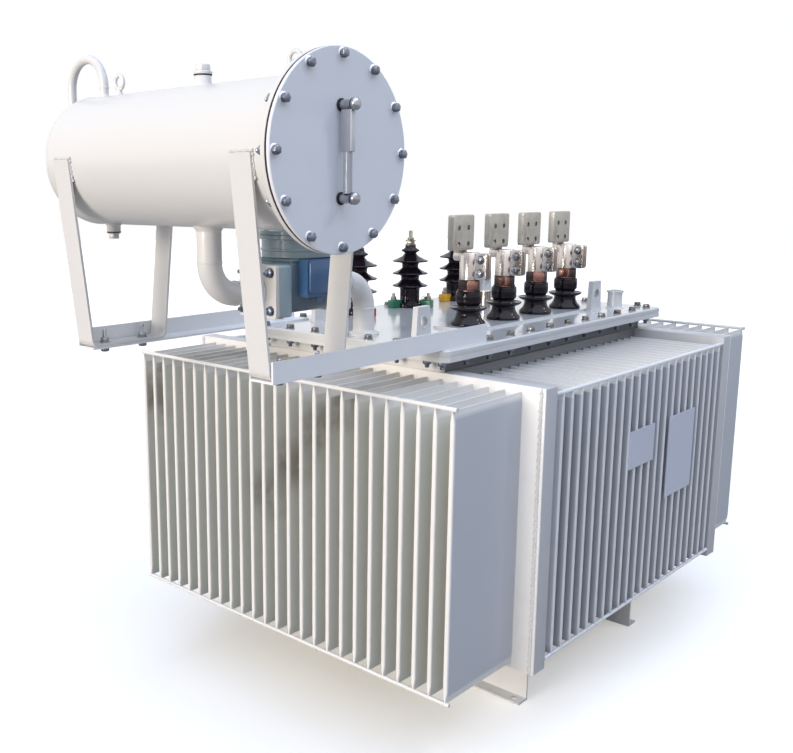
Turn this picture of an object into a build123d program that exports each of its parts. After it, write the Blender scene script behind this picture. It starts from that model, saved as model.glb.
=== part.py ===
from build123d import *
import os
from math import asin, atan, cos, degrees, radians, sin, sqrt, tan

# Oil-filled power transformer with a corrugated tank and a conservator.
# Millimetres, +Z up. X runs along the tank, and the conservator hangs over its -X end.
# The low-voltage bushings and the level gauge face -Y.
# The origin is on the ground, in the middle of the four foundation bolts.

os.makedirs("parts", exist_ok=True)


def save(piece, name):
    """Labels a finished piece and writes its STEP file."""
    piece.part.label = name
    export_step(piece.part, f"parts/{name}.step")


# Clearance left between a curved face and what is seated on it
seat_gap = 0.3

# Tank
tank_length = 1110
tank_width = 626
tank_wall = 5
tank_floor = 8
tank_corner = 22
skid_height = 140
tank_rim_z = 981

# Cover, its gasket and the flange round the mouth of the tank
rim_overhang = 46
flange_t = 12
gasket_t = 5
cover_t = 14
rim_corner_cut = 17
cover_bevel = 4
gasket_inset = 1.5
strip_width = 130
strip_t = 6
strip_end = 78

# Corrugated walls
fin_pitch = 45
fin_t = 12
fin_tip = 4
fin_tip_cut = 3.5
seam_t = 4
seam_h = 4
seam_blend = 24
sheet_t = 5
end_fin_count = 25
end_fin_depth = 275
end_fin_z0 = 240
end_fin_z1 = 920
side_fin_z0 = 252
side_fin_z1 = 912
rod_d = 10
rod_sides = 8
rod_overlap = rod_d / 4
rod_overrun = 4

# Hollow wings at the tank's ends, which carry the outer end fins
wing_depth = 50
wing_reach = 292
wing_wall = 4
wing_z0 = 225
wing_z1 = 935

# Skids: folded channels across the tank
skid_web_x = 309
skid_t = 6
skid_flange = 46
skid_length = 900
skid_hole_d = 18
skid_hole_inset = 26

# Blank plates welded to the fins of the -Y side
plate_t = 3
large_plate_w = 172
large_plate_h = 237
large_plate_x = 221
large_plate_z = 630
small_plate_w = 148
small_plate_h = 104
small_plate_x = -38
small_plate_z = 698

# Conservator
shell_d = 308
shell_wall = 4
shell_x = -1066
shell_z = 1455
shell_front_y = -404
shell_back_y = 404
shell_knuckle = 28
end_ring_d = 394
end_ring_t = 12
end_gasket_t = 4
end_plate_t = 8
end_bolt_circle = 367
end_bolt_count = 12
end_bolt_hole_d = 13
gauge_height = 176
gauge_reach = 45
gauge_boss_d = 24
gauge_guard_w = 12
gauge_guard_t = 28
gauge_x = -1070

# Fittings on the conservator
filler_y = -21
filler_d = 38
filler_h = 22
filler_ring_d = 42
filler_ring_h = 8
filler_cap_af = 32
filler_cap_h = 14
filler_cap_bevel = 2
drain_y = 334
drain_d = 34
drain_h = 20
drain_plug_af = 24
drain_plug_h = 16
eye_front_y = -303
eye_back_y = 288
eye_ring_d = 42
eye_hole_d = 22
eye_t = 10
eye_neck_w = 20
eye_lift = 30
breather_d = 21.5
breather_y = 351
breather_span = 140
breather_rise = 24
breather_drop = 190

# Straps and beams under the conservator
strap_width = 60
strap_t = 6
strap_foot_half = 107
strap_bend = 14
strap_hole_d = 14
strap_hole_half = 58
beam_upright = 46
beam_ledge = 66
beam_t = 5
beam_x0 = -1177
beam_x1 = -412
beam_inset = 13
beam_gap = 2

# Oil pipe and gas relay
pipe_d = 57
pipe_bend = 76
pipe_saddle = 4
pipe_y = -30
pipe_z = 1147
pipe_down_x = -525
pipe_foot_d = 84
pipe_foot_t = 6
pipe_flange = 126
pipe_flange_t = 12
flange_corner = 6
stud_square = 90
stud_d = 12
stud_stick = 20
relay_x = -784
relay_length = 244
relay_flange = 126
relay_flange_t = 42
relay_body_w = 122
relay_body_h = 129
relay_body_lift = 10.5
relay_body_corner = 18
relay_neck_d = 172
relay_neck_h = 44
relay_head_d = 184
relay_head_h = 22
relay_cap_d = 118
relay_cap_h = 6
relay_box_w = 112
relay_box_h = 90
relay_box_t = 36
relay_box_drop = 1
relay_box_corner = 6

# Lifting lugs on the cover
lug_length = 66
lug_top = 34
lug_height = 94
lug_t = 16
lug_hole_d = 30
lug_hole_z = 55
lug_gap = 34
lug_front_left_x = -545
lug_rear_left_x = -407
lug_front_right_x = 370
lug_rear_right_x = 470

# Low-voltage bushings
lv_count = 4
lv_pitch = 182
lv_x0 = -222
lv_y = -160
lv_foot_r = 49
lv_foot_h = 10
lv_skirt_r = 37
lv_skirt_h = 21
lv_waist_r = 33
lv_waist_h = 37
lv_shed_r = 52
lv_shed_z = 45
lv_shed_t = 5
lv_neck_r = 28
lv_neck_z = 59
lv_collar_r = 36
lv_collar_z = 66
lv_collar_round = 3
lv_porcelain_h = 97
lv_nut_af = 52
lv_nut_h = 31
lv_stem_r = 18
lv_clamp_r = 28
lv_clamp_h = 76
lv_ear_reach = 62
lv_ear_t = 11
lv_ear_gap = 4
lv_web_w = 46
lv_web_h = 24
lv_flag_w = 100
lv_flag_h = 98
lv_flag_t = 20
lv_flag_back = 22
lv_flag_lift = 5
lv_flag_cut = 7
lv_flag_hole_d = 14
lv_flag_hole_z = 40
lv_flag_hole_pitch = 45

# High-voltage bushings
hv_count = 3
hv_pitch = 262
hv_x0 = -214
hv_y = 255
hv_foot_r = 46
hv_foot_h = 14
hv_body_r = 32
hv_body_taper = 3
hv_shed_r = 58
hv_shed_count = 3
hv_shed_z0 = 73
hv_shed_pitch = 40.5
hv_shed_under = 7
hv_shed_lip = 3
hv_shed_over = 13
hv_cap_r = 29
hv_cap_neck_r = 20
hv_cap_z = 189
hv_cap_lip = 6
hv_cap_under = 13
hv_porcelain_h = 203
hv_nut_r = 18
hv_nut_h = 16
hv_stud_r = 6
hv_stud_h = 32
hv_clamp_count = 3
hv_clamp_turns = (15, 45, 60)
hv_clamp_w = 26
hv_clamp_len = 34
hv_clamp_h = 26
hv_clamp_lip = 8

# Small stubs on the cover
filling_x = 470
filling_y = -260
filling_d = 46
filling_h = 58
filling_rim_d = 54
filling_rim_h = 6
pocket_x = 206
pocket_y = 64
pocket_d = 36
pocket_h = 55
pocket_rim_d = 40
pocket_rim_h = 4

# Places that follow from the sizes above
tank_bottom_z = skid_height
cover_top_z = tank_rim_z + gasket_t + cover_t
rim_length = tank_length + 2 * (sheet_t + rim_overhang)
rim_width = tank_width + 2 * rim_overhang
end_wall_x = tank_length / 2 + sheet_t
wing_x = (tank_length - wing_depth) / 2
wing_inner_x = tank_length / 2 - wing_depth
side_fin_count = int(2 * wing_inner_x / fin_pitch)
wing_half_width = tank_width / 2 + wing_reach
wing_height = wing_z1 - wing_z0
wing_mid_z = (wing_z0 + wing_z1) / 2
side_wall_y = tank_width / 2 + sheet_t
side_fin_depth = wing_half_width - side_wall_y
shell_r = shell_d / 2
shell_top_z = shell_z + shell_r
shell_bottom_z = shell_z - shell_r
beam_face_y = rim_width / 2 - beam_inset
strap_y = beam_face_y - beam_t - beam_gap - strap_width / 2
strap_foot_z = cover_top_z + beam_t
lug_y = beam_face_y - beam_ledge - lug_gap - lug_t / 2
strip_top_z = cover_top_z + strip_t
lv_span = (lv_count - 1) * lv_pitch
lv_mid_x = lv_x0 + lv_span / 2
lv_nut_z = strip_top_z + lv_porcelain_h
lv_clamp_z = lv_nut_z + lv_nut_h
lv_web_z = lv_clamp_z + lv_clamp_h - lv_web_h
lv_flag_z = lv_clamp_z + lv_clamp_h + lv_flag_lift

# Tank: a welded box, open at the top, with rounded upright corners.
with BuildPart() as tank_shell:
    with BuildSketch(Plane.XY.offset(tank_bottom_z)):
        RectangleRounded(tank_length, tank_width, tank_corner)
    extrude(amount=tank_rim_z - flange_t - tank_bottom_z)
    with BuildSketch(Plane.XY.offset(tank_bottom_z + tank_floor)):
        RectangleRounded(tank_length - 2 * tank_wall, tank_width - 2 * tank_wall, tank_corner - tank_wall)
    extrude(amount=tank_rim_z, mode=Mode.SUBTRACT)
save(tank_shell, "tank_shell")

# The flange round the mouth, the gasket and the cover have cut corners.
with BuildPart() as tank_flange:
    with BuildSketch(Plane.XY.offset(tank_rim_z - flange_t)) as flange_outline:
        Rectangle(rim_length, rim_width)
        chamfer(flange_outline.vertices(), rim_corner_cut)
        RectangleRounded(
            tank_length - 2 * tank_wall,
            tank_width - 2 * tank_wall,
            tank_corner - tank_wall,
            mode=Mode.SUBTRACT,
        )
    extrude(amount=flange_t)
save(tank_flange, "tank_flange")

with BuildPart() as cover_gasket:
    with BuildSketch(Plane.XY.offset(tank_rim_z)) as gasket_outline:
        Rectangle(rim_length - 2 * gasket_inset, rim_width - 2 * gasket_inset)
        chamfer(gasket_outline.vertices(), rim_corner_cut)
        Rectangle(tank_length - 2 * tank_corner, tank_width - 2 * tank_corner, mode=Mode.SUBTRACT)
    extrude(amount=gasket_t)
save(cover_gasket, "cover_gasket")

# Cover, with the raised strip that carries the low-voltage bushings.
with BuildPart() as tank_cover:
    with BuildSketch(Plane.XY.offset(tank_rim_z + gasket_t)) as cover_outline:
        Rectangle(rim_length, rim_width)
        chamfer(cover_outline.vertices(), rim_corner_cut)
    extrude(amount=cover_t)
    chamfer(tank_cover.faces().sort_by(Axis.Z)[-1].edges(), cover_bevel)
    with BuildSketch(Plane.XY.offset(cover_top_z)):
        with Locations((lv_mid_x, lv_y)):
            RectangleRounded(lv_span + 2 * strip_end, strip_width, strip_t)
    extrude(amount=strip_t)
save(tank_cover, "tank_cover")


def wing_pair(side):
    """Two hollow wings at one end of the tank: side is -1 for the -X end and 1 for the +X end."""
    with BuildPart() as wings:
        for face in (-1, 1):
            wing_y = face * (tank_width + wing_reach) / 2
            with BuildSketch(Plane.XY.offset(wing_z0)):
                with Locations((side * wing_x, wing_y)):
                    Rectangle(wing_depth, wing_reach)
            extrude(amount=wing_height)
            with BuildSketch(Plane.XY.offset(wing_z0 + wing_wall)):
                with Locations((side * wing_x, wing_y)):
                    Rectangle(wing_depth - 2 * wing_wall, wing_reach - 2 * wing_wall)
            extrude(amount=wing_height - 2 * wing_wall, mode=Mode.SUBTRACT)
    return wings


for side, end in ((-1, "left"), (1, "right")):
    save(wing_pair(side), f"end_wings_{end}")


def fin(depth, z0, z1):
    """One fin of folded sheet, pinched flat along its top and bottom. It points along +X from x = 0."""
    half = fin_t / 2
    tip = depth - fin_tip
    outline = [(0, -half), (tip, -half), (depth, -half + fin_tip_cut)]
    outline += [(x, -y) for x, y in reversed(outline)]
    inset = half - seam_t / 2
    pinch = degrees(asin(inset / sqrt(inset**2 + seam_blend**2)))
    flank = seam_h + seam_blend
    with BuildPart() as one_fin:
        with BuildSketch(Plane.XY.offset(z0 + flank)):
            Polygon(*outline, align=None)
        extrude(amount=z1 - z0 - 2 * flank)
        with BuildSketch(Plane.XY.offset(z1 - flank)):
            Polygon(*outline, align=None)
        extrude(amount=seam_blend, taper=pinch)
        with BuildSketch(Plane.XY.offset(z0 + flank)):
            Polygon(*outline, align=None)
        extrude(amount=-seam_blend, taper=pinch)
        with BuildSketch(Plane.XY.offset(z0)):
            with Locations((tip / 2, 0)):
                Rectangle(tip, seam_t)
        extrude(amount=z1 - z0)
    return one_fin.part


end_fin = fin(end_fin_depth, end_fin_z0, end_fin_z1)
side_fin = fin(side_fin_depth, side_fin_z0, side_fin_z1)
end_rod_x = -end_wall_x - end_fin_depth + rod_d / 2
end_rod_length = (end_fin_count - 1) * fin_pitch + 2 * rod_overrun + fin_t
side_rod_y = -wing_half_width + rod_d / 2

# End wall: one sheet across the tank and both wings, its fins, and the rods that tie their tips.
with BuildPart() as fin_bank_left:
    with BuildSketch(Plane.YZ.offset(-end_wall_x)):
        with Locations((0, wing_mid_z)):
            Rectangle(2 * wing_half_width, wing_height)
    extrude(amount=sheet_t)
    with Locations(Location((-end_wall_x, 0, 0), (0, 0, 180))):
        with GridLocations(0, fin_pitch, 1, end_fin_count):
            add(end_fin)
    for rod_z in (end_fin_z0 - rod_overlap, end_fin_z1 + rod_overlap):
        with BuildSketch(Plane.XZ.offset(-end_rod_length / 2)):
            with Locations((end_rod_x, rod_z)):
                RegularPolygon(rod_d / 2, rod_sides)
        extrude(amount=end_rod_length)
save(fin_bank_left, "fin_bank_left")

with BuildPart() as fin_bank_right:
    mirror(fin_bank_left.part, about=Plane.YZ)
save(fin_bank_right, "fin_bank_right")

# Side wall: the sheet stands between the wings, and its rods run from wing to wing.
with BuildPart() as fin_bank_front:
    with BuildSketch(Plane.XZ.offset(tank_width / 2)):
        with Locations((0, wing_mid_z)):
            Rectangle(2 * wing_inner_x, wing_height)
    extrude(amount=sheet_t)
    with Locations(Location((0, -side_wall_y, 0), (0, 0, -90))):
        with GridLocations(0, fin_pitch, 1, side_fin_count):
            add(side_fin)
    for rod_z in (side_fin_z0 - rod_overlap, side_fin_z1 + rod_overlap):
        with BuildSketch(Plane.YZ.offset(-wing_inner_x)):
            with Locations((side_rod_y, rod_z)):
                RegularPolygon(rod_d / 2, rod_sides)
        extrude(amount=2 * wing_inner_x)
save(fin_bank_front, "fin_bank_front")

with BuildPart() as fin_bank_rear:
    mirror(fin_bank_front.part, about=Plane.XZ)
save(fin_bank_rear, "fin_bank_rear")

# Skids: channels with their flanges outwards and a bolt hole near each end of the lower flange.
skid_hole_x = skid_web_x + skid_flange / 2
skid_hole_y = skid_length / 2 - skid_hole_inset
for side, end in ((-1, "left"), (1, "right")):
    web = side * skid_web_x
    tip = side * (skid_web_x + skid_flange)
    inside = side * (skid_web_x + skid_t)
    with BuildPart() as skid:
        with BuildSketch(Plane.XZ.offset(-skid_length / 2)):
            with BuildLine():
                Polyline(
                    (tip, 0),
                    (web, 0),
                    (web, skid_height),
                    (tip, skid_height),
                    (tip, skid_height - skid_t),
                    (inside, skid_height - skid_t),
                    (inside, skid_t),
                    (tip, skid_t),
                    close=True,
                )
            make_face()
        extrude(amount=skid_length)
        with BuildSketch(Plane.XY):
            with Locations((side * skid_hole_x, -skid_hole_y), (side * skid_hole_x, skid_hole_y)):
                Circle(skid_hole_d / 2)
        extrude(amount=skid_t, mode=Mode.SUBTRACT)
    save(skid, f"skid_{end}")

# Blank plates on the tips of the -Y fins.
with BuildPart() as blank_plates:
    with BuildSketch(Plane.XZ.offset(wing_half_width)):
        with Locations((large_plate_x, large_plate_z)):
            Rectangle(large_plate_w, large_plate_h)
        with Locations((small_plate_x, small_plate_z)):
            Rectangle(small_plate_w, small_plate_h)
    extrude(amount=plate_t)
save(blank_plates, "blank_plates")


# Conservator shell: a turned drum with a rounded far end and a bolting ring in front,
# and the stubs and eyes that are welded to it.
ring_front_y = shell_front_y - end_ring_t
knuckle_y = shell_back_y - shell_knuckle
knuckle_r = shell_r - shell_knuckle


def drum_end(radius, curve):
    """Profile of the drum's rounded far end, from its side to its axis. Call it inside a BuildLine."""
    turn = curve * cos(radians(45))
    ThreePointArc(
        (radius, knuckle_y),
        (knuckle_r + turn, knuckle_y + turn),
        (knuckle_r, knuckle_y + curve),
    )
    Line((knuckle_r, knuckle_y + curve), (0, knuckle_y + curve))


drum_plane = Plane((shell_x, 0, shell_z), x_dir=(1, 0, 0), z_dir=(0, 0, 1))
drum_axis = Axis((shell_x, 0, shell_z), (0, 1, 0))
with BuildPart() as conservator_shell:
    with BuildSketch(drum_plane):
        with BuildLine() as drum_outside:
            Polyline(
                (0, shell_back_y),
                (0, ring_front_y),
                (end_ring_d / 2, ring_front_y),
                (end_ring_d / 2, shell_front_y),
                (shell_r, shell_front_y),
                (shell_r, knuckle_y),
            )
            drum_end(shell_r, shell_knuckle)
        make_face()
    revolve(axis=drum_axis)
    for eye_y in (eye_front_y, eye_back_y):
        with BuildSketch(Plane.YZ.offset(shell_x - eye_t / 2)):
            with Locations((eye_y, shell_top_z + eye_lift)):
                Circle(eye_ring_d / 2)
            with Locations((eye_y, shell_top_z)):
                Rectangle(eye_neck_w, 2 * (eye_lift - eye_hole_d / 2))
            with Locations((eye_y, shell_top_z + eye_lift)):
                Circle(eye_hole_d / 2, mode=Mode.SUBTRACT)
        extrude(amount=eye_t)
    with BuildSketch(Plane.XY.offset(shell_top_z - shell_wall)):
        with Locations((shell_x, filler_y)):
            Circle(filler_d / 2)
    extrude(amount=filler_h + shell_wall)
    with BuildSketch(Plane.XY.offset(shell_bottom_z - drain_h)):
        with Locations((shell_x, drain_y)):
            Circle(drain_d / 2)
    extrude(amount=drain_h + shell_wall)
    with BuildSketch(drum_plane):
        with BuildLine() as drum_inside:
            Polyline(
                (0, shell_back_y - shell_wall),
                (0, ring_front_y),
                (shell_r - shell_wall, ring_front_y),
                (shell_r - shell_wall, knuckle_y),
            )
            drum_end(shell_r - shell_wall, shell_knuckle - shell_wall)
        make_face()
    revolve(axis=drum_axis, mode=Mode.SUBTRACT)
    with BuildSketch(Plane.XZ.offset(-ring_front_y)):
        with Locations((shell_x, shell_z)):
            with PolarLocations(end_bolt_circle / 2, end_bolt_count, start_angle=90):
                Circle(end_bolt_hole_d / 2)
    extrude(amount=-end_ring_t, mode=Mode.SUBTRACT)
save(conservator_shell, "conservator_shell")

with BuildPart() as conservator_gasket:
    with BuildSketch(Plane.XZ.offset(-ring_front_y)):
        with Locations((shell_x, shell_z)):
            Circle(end_ring_d / 2)
            Circle(shell_r - shell_wall, mode=Mode.SUBTRACT)
            with PolarLocations(end_bolt_circle / 2, end_bolt_count, start_angle=90):
                Circle(end_bolt_hole_d / 2, mode=Mode.SUBTRACT)
    extrude(amount=end_gasket_t)
save(conservator_gasket, "conservator_gasket")

plate_back_y = ring_front_y - end_gasket_t
plate_front_y = plate_back_y - end_plate_t
with BuildPart() as conservator_end_plate:
    with BuildSketch(Plane.XZ.offset(-plate_back_y)):
        with Locations((shell_x, shell_z)):
            Circle(end_ring_d / 2)
            with PolarLocations(end_bolt_circle / 2, end_bolt_count, start_angle=90):
                Circle(end_bolt_hole_d / 2, mode=Mode.SUBTRACT)
    extrude(amount=end_plate_t)
save(conservator_end_plate, "conservator_end_plate")

# Level gauge: two bosses on the end plate with a guarded glass between them.
guard_back_y = plate_front_y - (gauge_reach - gauge_guard_t) / 2
with BuildPart() as level_gauge:
    with BuildSketch(Plane.XZ.offset(-plate_front_y)):
        with Locations((gauge_x, shell_z - gauge_height / 2), (gauge_x, shell_z + gauge_height / 2)):
            Circle(gauge_boss_d / 2)
    extrude(amount=gauge_reach)
    with BuildSketch(Plane.XZ.offset(-guard_back_y)):
        with Locations((gauge_x, shell_z)):
            Rectangle(gauge_guard_w, gauge_height)
    extrude(amount=gauge_guard_t)
save(level_gauge, "level_gauge")

# Filler cap: a round foot with a hexagon on it.
with BuildPart() as filler_cap:
    with BuildSketch(Plane.XY.offset(shell_top_z + filler_h)):
        with Locations((shell_x, filler_y)):
            Circle(filler_ring_d / 2)
    extrude(amount=filler_ring_h)
    with BuildSketch(Plane.XY.offset(shell_top_z + filler_h + filler_ring_h)):
        with Locations((shell_x, filler_y)):
            RegularPolygon(filler_cap_af / 2, 6, major_radius=False)
    extrude(amount=filler_cap_h)
    chamfer(filler_cap.faces().sort_by(Axis.Z)[-1].edges(), filler_cap_bevel)
save(filler_cap, "filler_cap")

with BuildPart() as drain_plug:
    with BuildSketch(Plane.XY.offset(shell_bottom_z - drain_h - drain_plug_h)):
        with Locations((shell_x, drain_y)):
            RegularPolygon(drain_plug_af / 2, 6, major_radius=False)
    extrude(amount=drain_plug_h)
save(drain_plug, "drain_plug")

# Breather: a swan-neck pipe from the top of the shell, over and down behind its far end.
breather_bend = breather_span / 2
breather_bend_z = shell_top_z + breather_rise
breather_far_y = breather_y + breather_span
with BuildPart() as breather_pipe:
    with BuildLine() as breather_path:
        Line((shell_x, breather_y, shell_top_z - seat_gap), (shell_x, breather_y, breather_bend_z))
        ThreePointArc(
            (shell_x, breather_y, breather_bend_z),
            (shell_x, breather_y + breather_bend, breather_bend_z + breather_bend),
            (shell_x, breather_far_y, breather_bend_z),
        )
        Line((shell_x, breather_far_y, breather_bend_z), (shell_x, breather_far_y, breather_bend_z - breather_drop))
    with BuildSketch(Plane.XY.offset(shell_top_z - seat_gap)):
        with Locations((shell_x, breather_y)):
            Circle(breather_d / 2)
    sweep(path=breather_path.wire())
    with Locations(Location((shell_x, 0, shell_z), (90, 0, 0))):
        Cylinder(shell_r + seat_gap, 2 * shell_back_y, mode=Mode.SUBTRACT)
save(breather_pipe, "breather_pipe")

# Straps: flat bar bent to a U. The legs lean out until they touch the shell's sides,
# and the foot is bolted to a beam.
strap_rise = shell_z - strap_foot_z - strap_t
strap_reach = sqrt(strap_foot_half**2 + strap_rise**2)
strap_lean = asin((shell_r + seat_gap) / strap_reach) - atan(strap_foot_half / strap_rise)
strap_top_half = strap_foot_half + strap_rise * tan(strap_lean)
with BuildPart() as strap_front:
    with BuildSketch(Plane.XZ.offset(strap_y - strap_width / 2)):
        with BuildLine() as strap_line:
            FilletPolyline(
                (shell_x - strap_top_half, shell_z),
                (shell_x - strap_foot_half, strap_foot_z + strap_t),
                (shell_x + strap_foot_half, strap_foot_z + strap_t),
                (shell_x + strap_top_half, shell_z),
                radius=strap_bend,
            )
            offset(amount=strap_t, side=Side.RIGHT)
        make_face()
    extrude(amount=strap_width)
    with BuildSketch(Plane.XY.offset(strap_foot_z)):
        with Locations((shell_x - strap_hole_half, -strap_y), (shell_x + strap_hole_half, -strap_y)):
            Circle(strap_hole_d / 2)
    extrude(amount=strap_t, mode=Mode.SUBTRACT)
save(strap_front, "strap_front")

with BuildPart() as strap_rear:
    mirror(strap_front.part, about=Plane.XZ)
save(strap_rear, "strap_rear")

# Beams: angles along X, upright leg outwards, resting on the cover and reaching out under the straps.
with BuildPart() as beam_front:
    with BuildSketch(Plane.YZ.offset(beam_x0)):
        with BuildLine():
            Polyline(
                (-beam_face_y, cover_top_z),
                (-beam_face_y + beam_ledge, cover_top_z),
                (-beam_face_y + beam_ledge, cover_top_z + beam_t),
                (-beam_face_y + beam_t, cover_top_z + beam_t),
                (-beam_face_y + beam_t, cover_top_z + beam_upright),
                (-beam_face_y, cover_top_z + beam_upright),
                close=True,
            )
        make_face()
    extrude(amount=beam_x1 - beam_x0)
    with BuildSketch(Plane.XY.offset(cover_top_z)):
        with Locations((shell_x - strap_hole_half, -strap_y), (shell_x + strap_hole_half, -strap_y)):
            Circle(strap_hole_d / 2)
    extrude(amount=beam_t, mode=Mode.SUBTRACT)
save(beam_front, "beam_front")

with BuildPart() as beam_rear:
    mirror(beam_front.part, about=Plane.XZ)
save(beam_rear, "beam_rear")

relay_left_x = relay_x - relay_length / 2
relay_right_x = relay_x + relay_length / 2


def square_flange(face_x, thickness, size):
    """Square bolting flange across the oil pipe, from face_x towards +X."""
    with BuildPart() as flange:
        with BuildSketch(Plane.YZ.offset(face_x)):
            with Locations((pipe_y, pipe_z)):
                RectangleRounded(size, size, flange_corner)
        extrude(amount=thickness)
    return flange.part


def pipe_run(x, end_z, face_x):
    """Oil pipe from an upright end at x and end_z, round one bend, then level as far as face_x."""
    rise = 1 if end_z > pipe_z else -1
    turn = 1 if face_x > x else -1
    bend_mid = pipe_bend * (1 - cos(radians(45)))
    with BuildPart() as run:
        with BuildLine() as path:
            Line((x, pipe_y, end_z), (x, pipe_y, pipe_z + rise * pipe_bend))
            ThreePointArc(
                (x, pipe_y, pipe_z + rise * pipe_bend),
                (x + turn * bend_mid, pipe_y, pipe_z + rise * bend_mid),
                (x + turn * pipe_bend, pipe_y, pipe_z),
            )
            Line((x + turn * pipe_bend, pipe_y, pipe_z), (face_x, pipe_y, pipe_z))
        with BuildSketch(Plane.XY.offset(end_z)):
            with Locations((x, pipe_y)):
                Circle(pipe_d / 2)
        sweep(path=path.wire())
    return run.part


# Oil pipe from the bottom of the shell to the relay. Its upper end is cut to the curve of the shell.
upper_flange_x = relay_left_x - pipe_flange_t
upper_run = pipe_run(shell_x, shell_bottom_z + pipe_saddle, upper_flange_x)
upper_flange = square_flange(upper_flange_x, pipe_flange_t, pipe_flange)
with BuildPart() as oil_pipe_upper:
    add(upper_run)
    add(upper_flange)
    with BuildSketch(Plane.YZ.offset(upper_flange_x - stud_stick)):
        with Locations((pipe_y, pipe_z)):
            with GridLocations(stud_square, stud_square, 2, 2):
                Circle(stud_d / 2)
    extrude(amount=stud_stick)
    with Locations(Location((shell_x, pipe_y, shell_z), (90, 0, 0))):
        Cylinder(shell_r + seat_gap, shell_d, mode=Mode.SUBTRACT)
save(oil_pipe_upper, "oil_pipe_upper")

# Oil pipe from the relay down to its welded foot on the cover.
lower_run = pipe_run(pipe_down_x, cover_top_z, relay_right_x + pipe_flange_t)
lower_flange = square_flange(relay_right_x, pipe_flange_t, pipe_flange)
with BuildPart() as oil_pipe_lower:
    add(lower_run)
    add(lower_flange)
    with BuildSketch(Plane.XY.offset(cover_top_z)):
        with Locations((pipe_down_x, pipe_y)):
            Circle(pipe_foot_d / 2)
    extrude(amount=pipe_foot_t)
save(oil_pipe_lower, "oil_pipe_lower")

# Gas relay: a cast box between two thick square flanges, with a round head.
relay_body_z = pipe_z + relay_body_lift
relay_top_z = relay_body_z + relay_body_h / 2
relay_head_z = relay_top_z + relay_neck_h
relay_flange_left = square_flange(relay_left_x, relay_flange_t, relay_flange)
relay_flange_right = square_flange(relay_right_x - relay_flange_t, relay_flange_t, relay_flange)
with BuildPart() as relay_body:
    add(relay_flange_left)
    add(relay_flange_right)
    with BuildSketch(Plane.YZ.offset(relay_left_x + relay_flange_t)):
        with Locations((pipe_y, relay_body_z)):
            RectangleRounded(relay_body_w, relay_body_h, relay_body_corner)
    extrude(amount=relay_length - 2 * relay_flange_t)
    with BuildSketch(Plane.XY.offset(relay_top_z)):
        with Locations((relay_x, pipe_y)):
            Circle(relay_neck_d / 2)
    extrude(amount=relay_neck_h)
    with BuildSketch(Plane.XY.offset(relay_head_z)):
        with Locations((relay_x, pipe_y)):
            Circle(relay_head_d / 2)
    extrude(amount=relay_head_h)
    with BuildSketch(Plane.XY.offset(relay_head_z + relay_head_h)):
        with Locations((relay_x, pipe_y)):
            Circle(relay_cap_d / 2)
    extrude(amount=relay_cap_h)
save(relay_body, "relay_body")

relay_box_z = relay_top_z - relay_box_drop - relay_box_h / 2
with BuildPart() as relay_terminal_box:
    with BuildSketch(Plane.XZ.offset(-pipe_y + relay_body_w / 2)):
        with Locations((relay_x, relay_box_z)):
            RectangleRounded(relay_box_w, relay_box_h, relay_box_corner)
    extrude(amount=relay_box_t)
save(relay_terminal_box, "relay_terminal_box")

# Lifting lugs: upright trapezoid plates with a shackle hole, along X.
with BuildPart() as lifting_lugs:
    for lug_side, left_x, right_x in (
        (1, lug_front_left_x, lug_front_right_x),
        (-1, lug_rear_left_x, lug_rear_right_x),
    ):
        with BuildSketch(Plane.XZ.offset(lug_side * lug_y - lug_t / 2)):
            for lug_x in (left_x, right_x):
                with Locations((lug_x, cover_top_z)):
                    Polygon(
                        (-lug_length / 2, 0),
                        (lug_length / 2, 0),
                        (lug_top / 2, lug_height),
                        (-lug_top / 2, lug_height),
                        align=None,
                    )
                with Locations((lug_x, cover_top_z + lug_hole_z)):
                    Circle(lug_hole_d / 2, mode=Mode.SUBTRACT)
        extrude(amount=lug_t)
save(lifting_lugs, "lifting_lugs")

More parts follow.
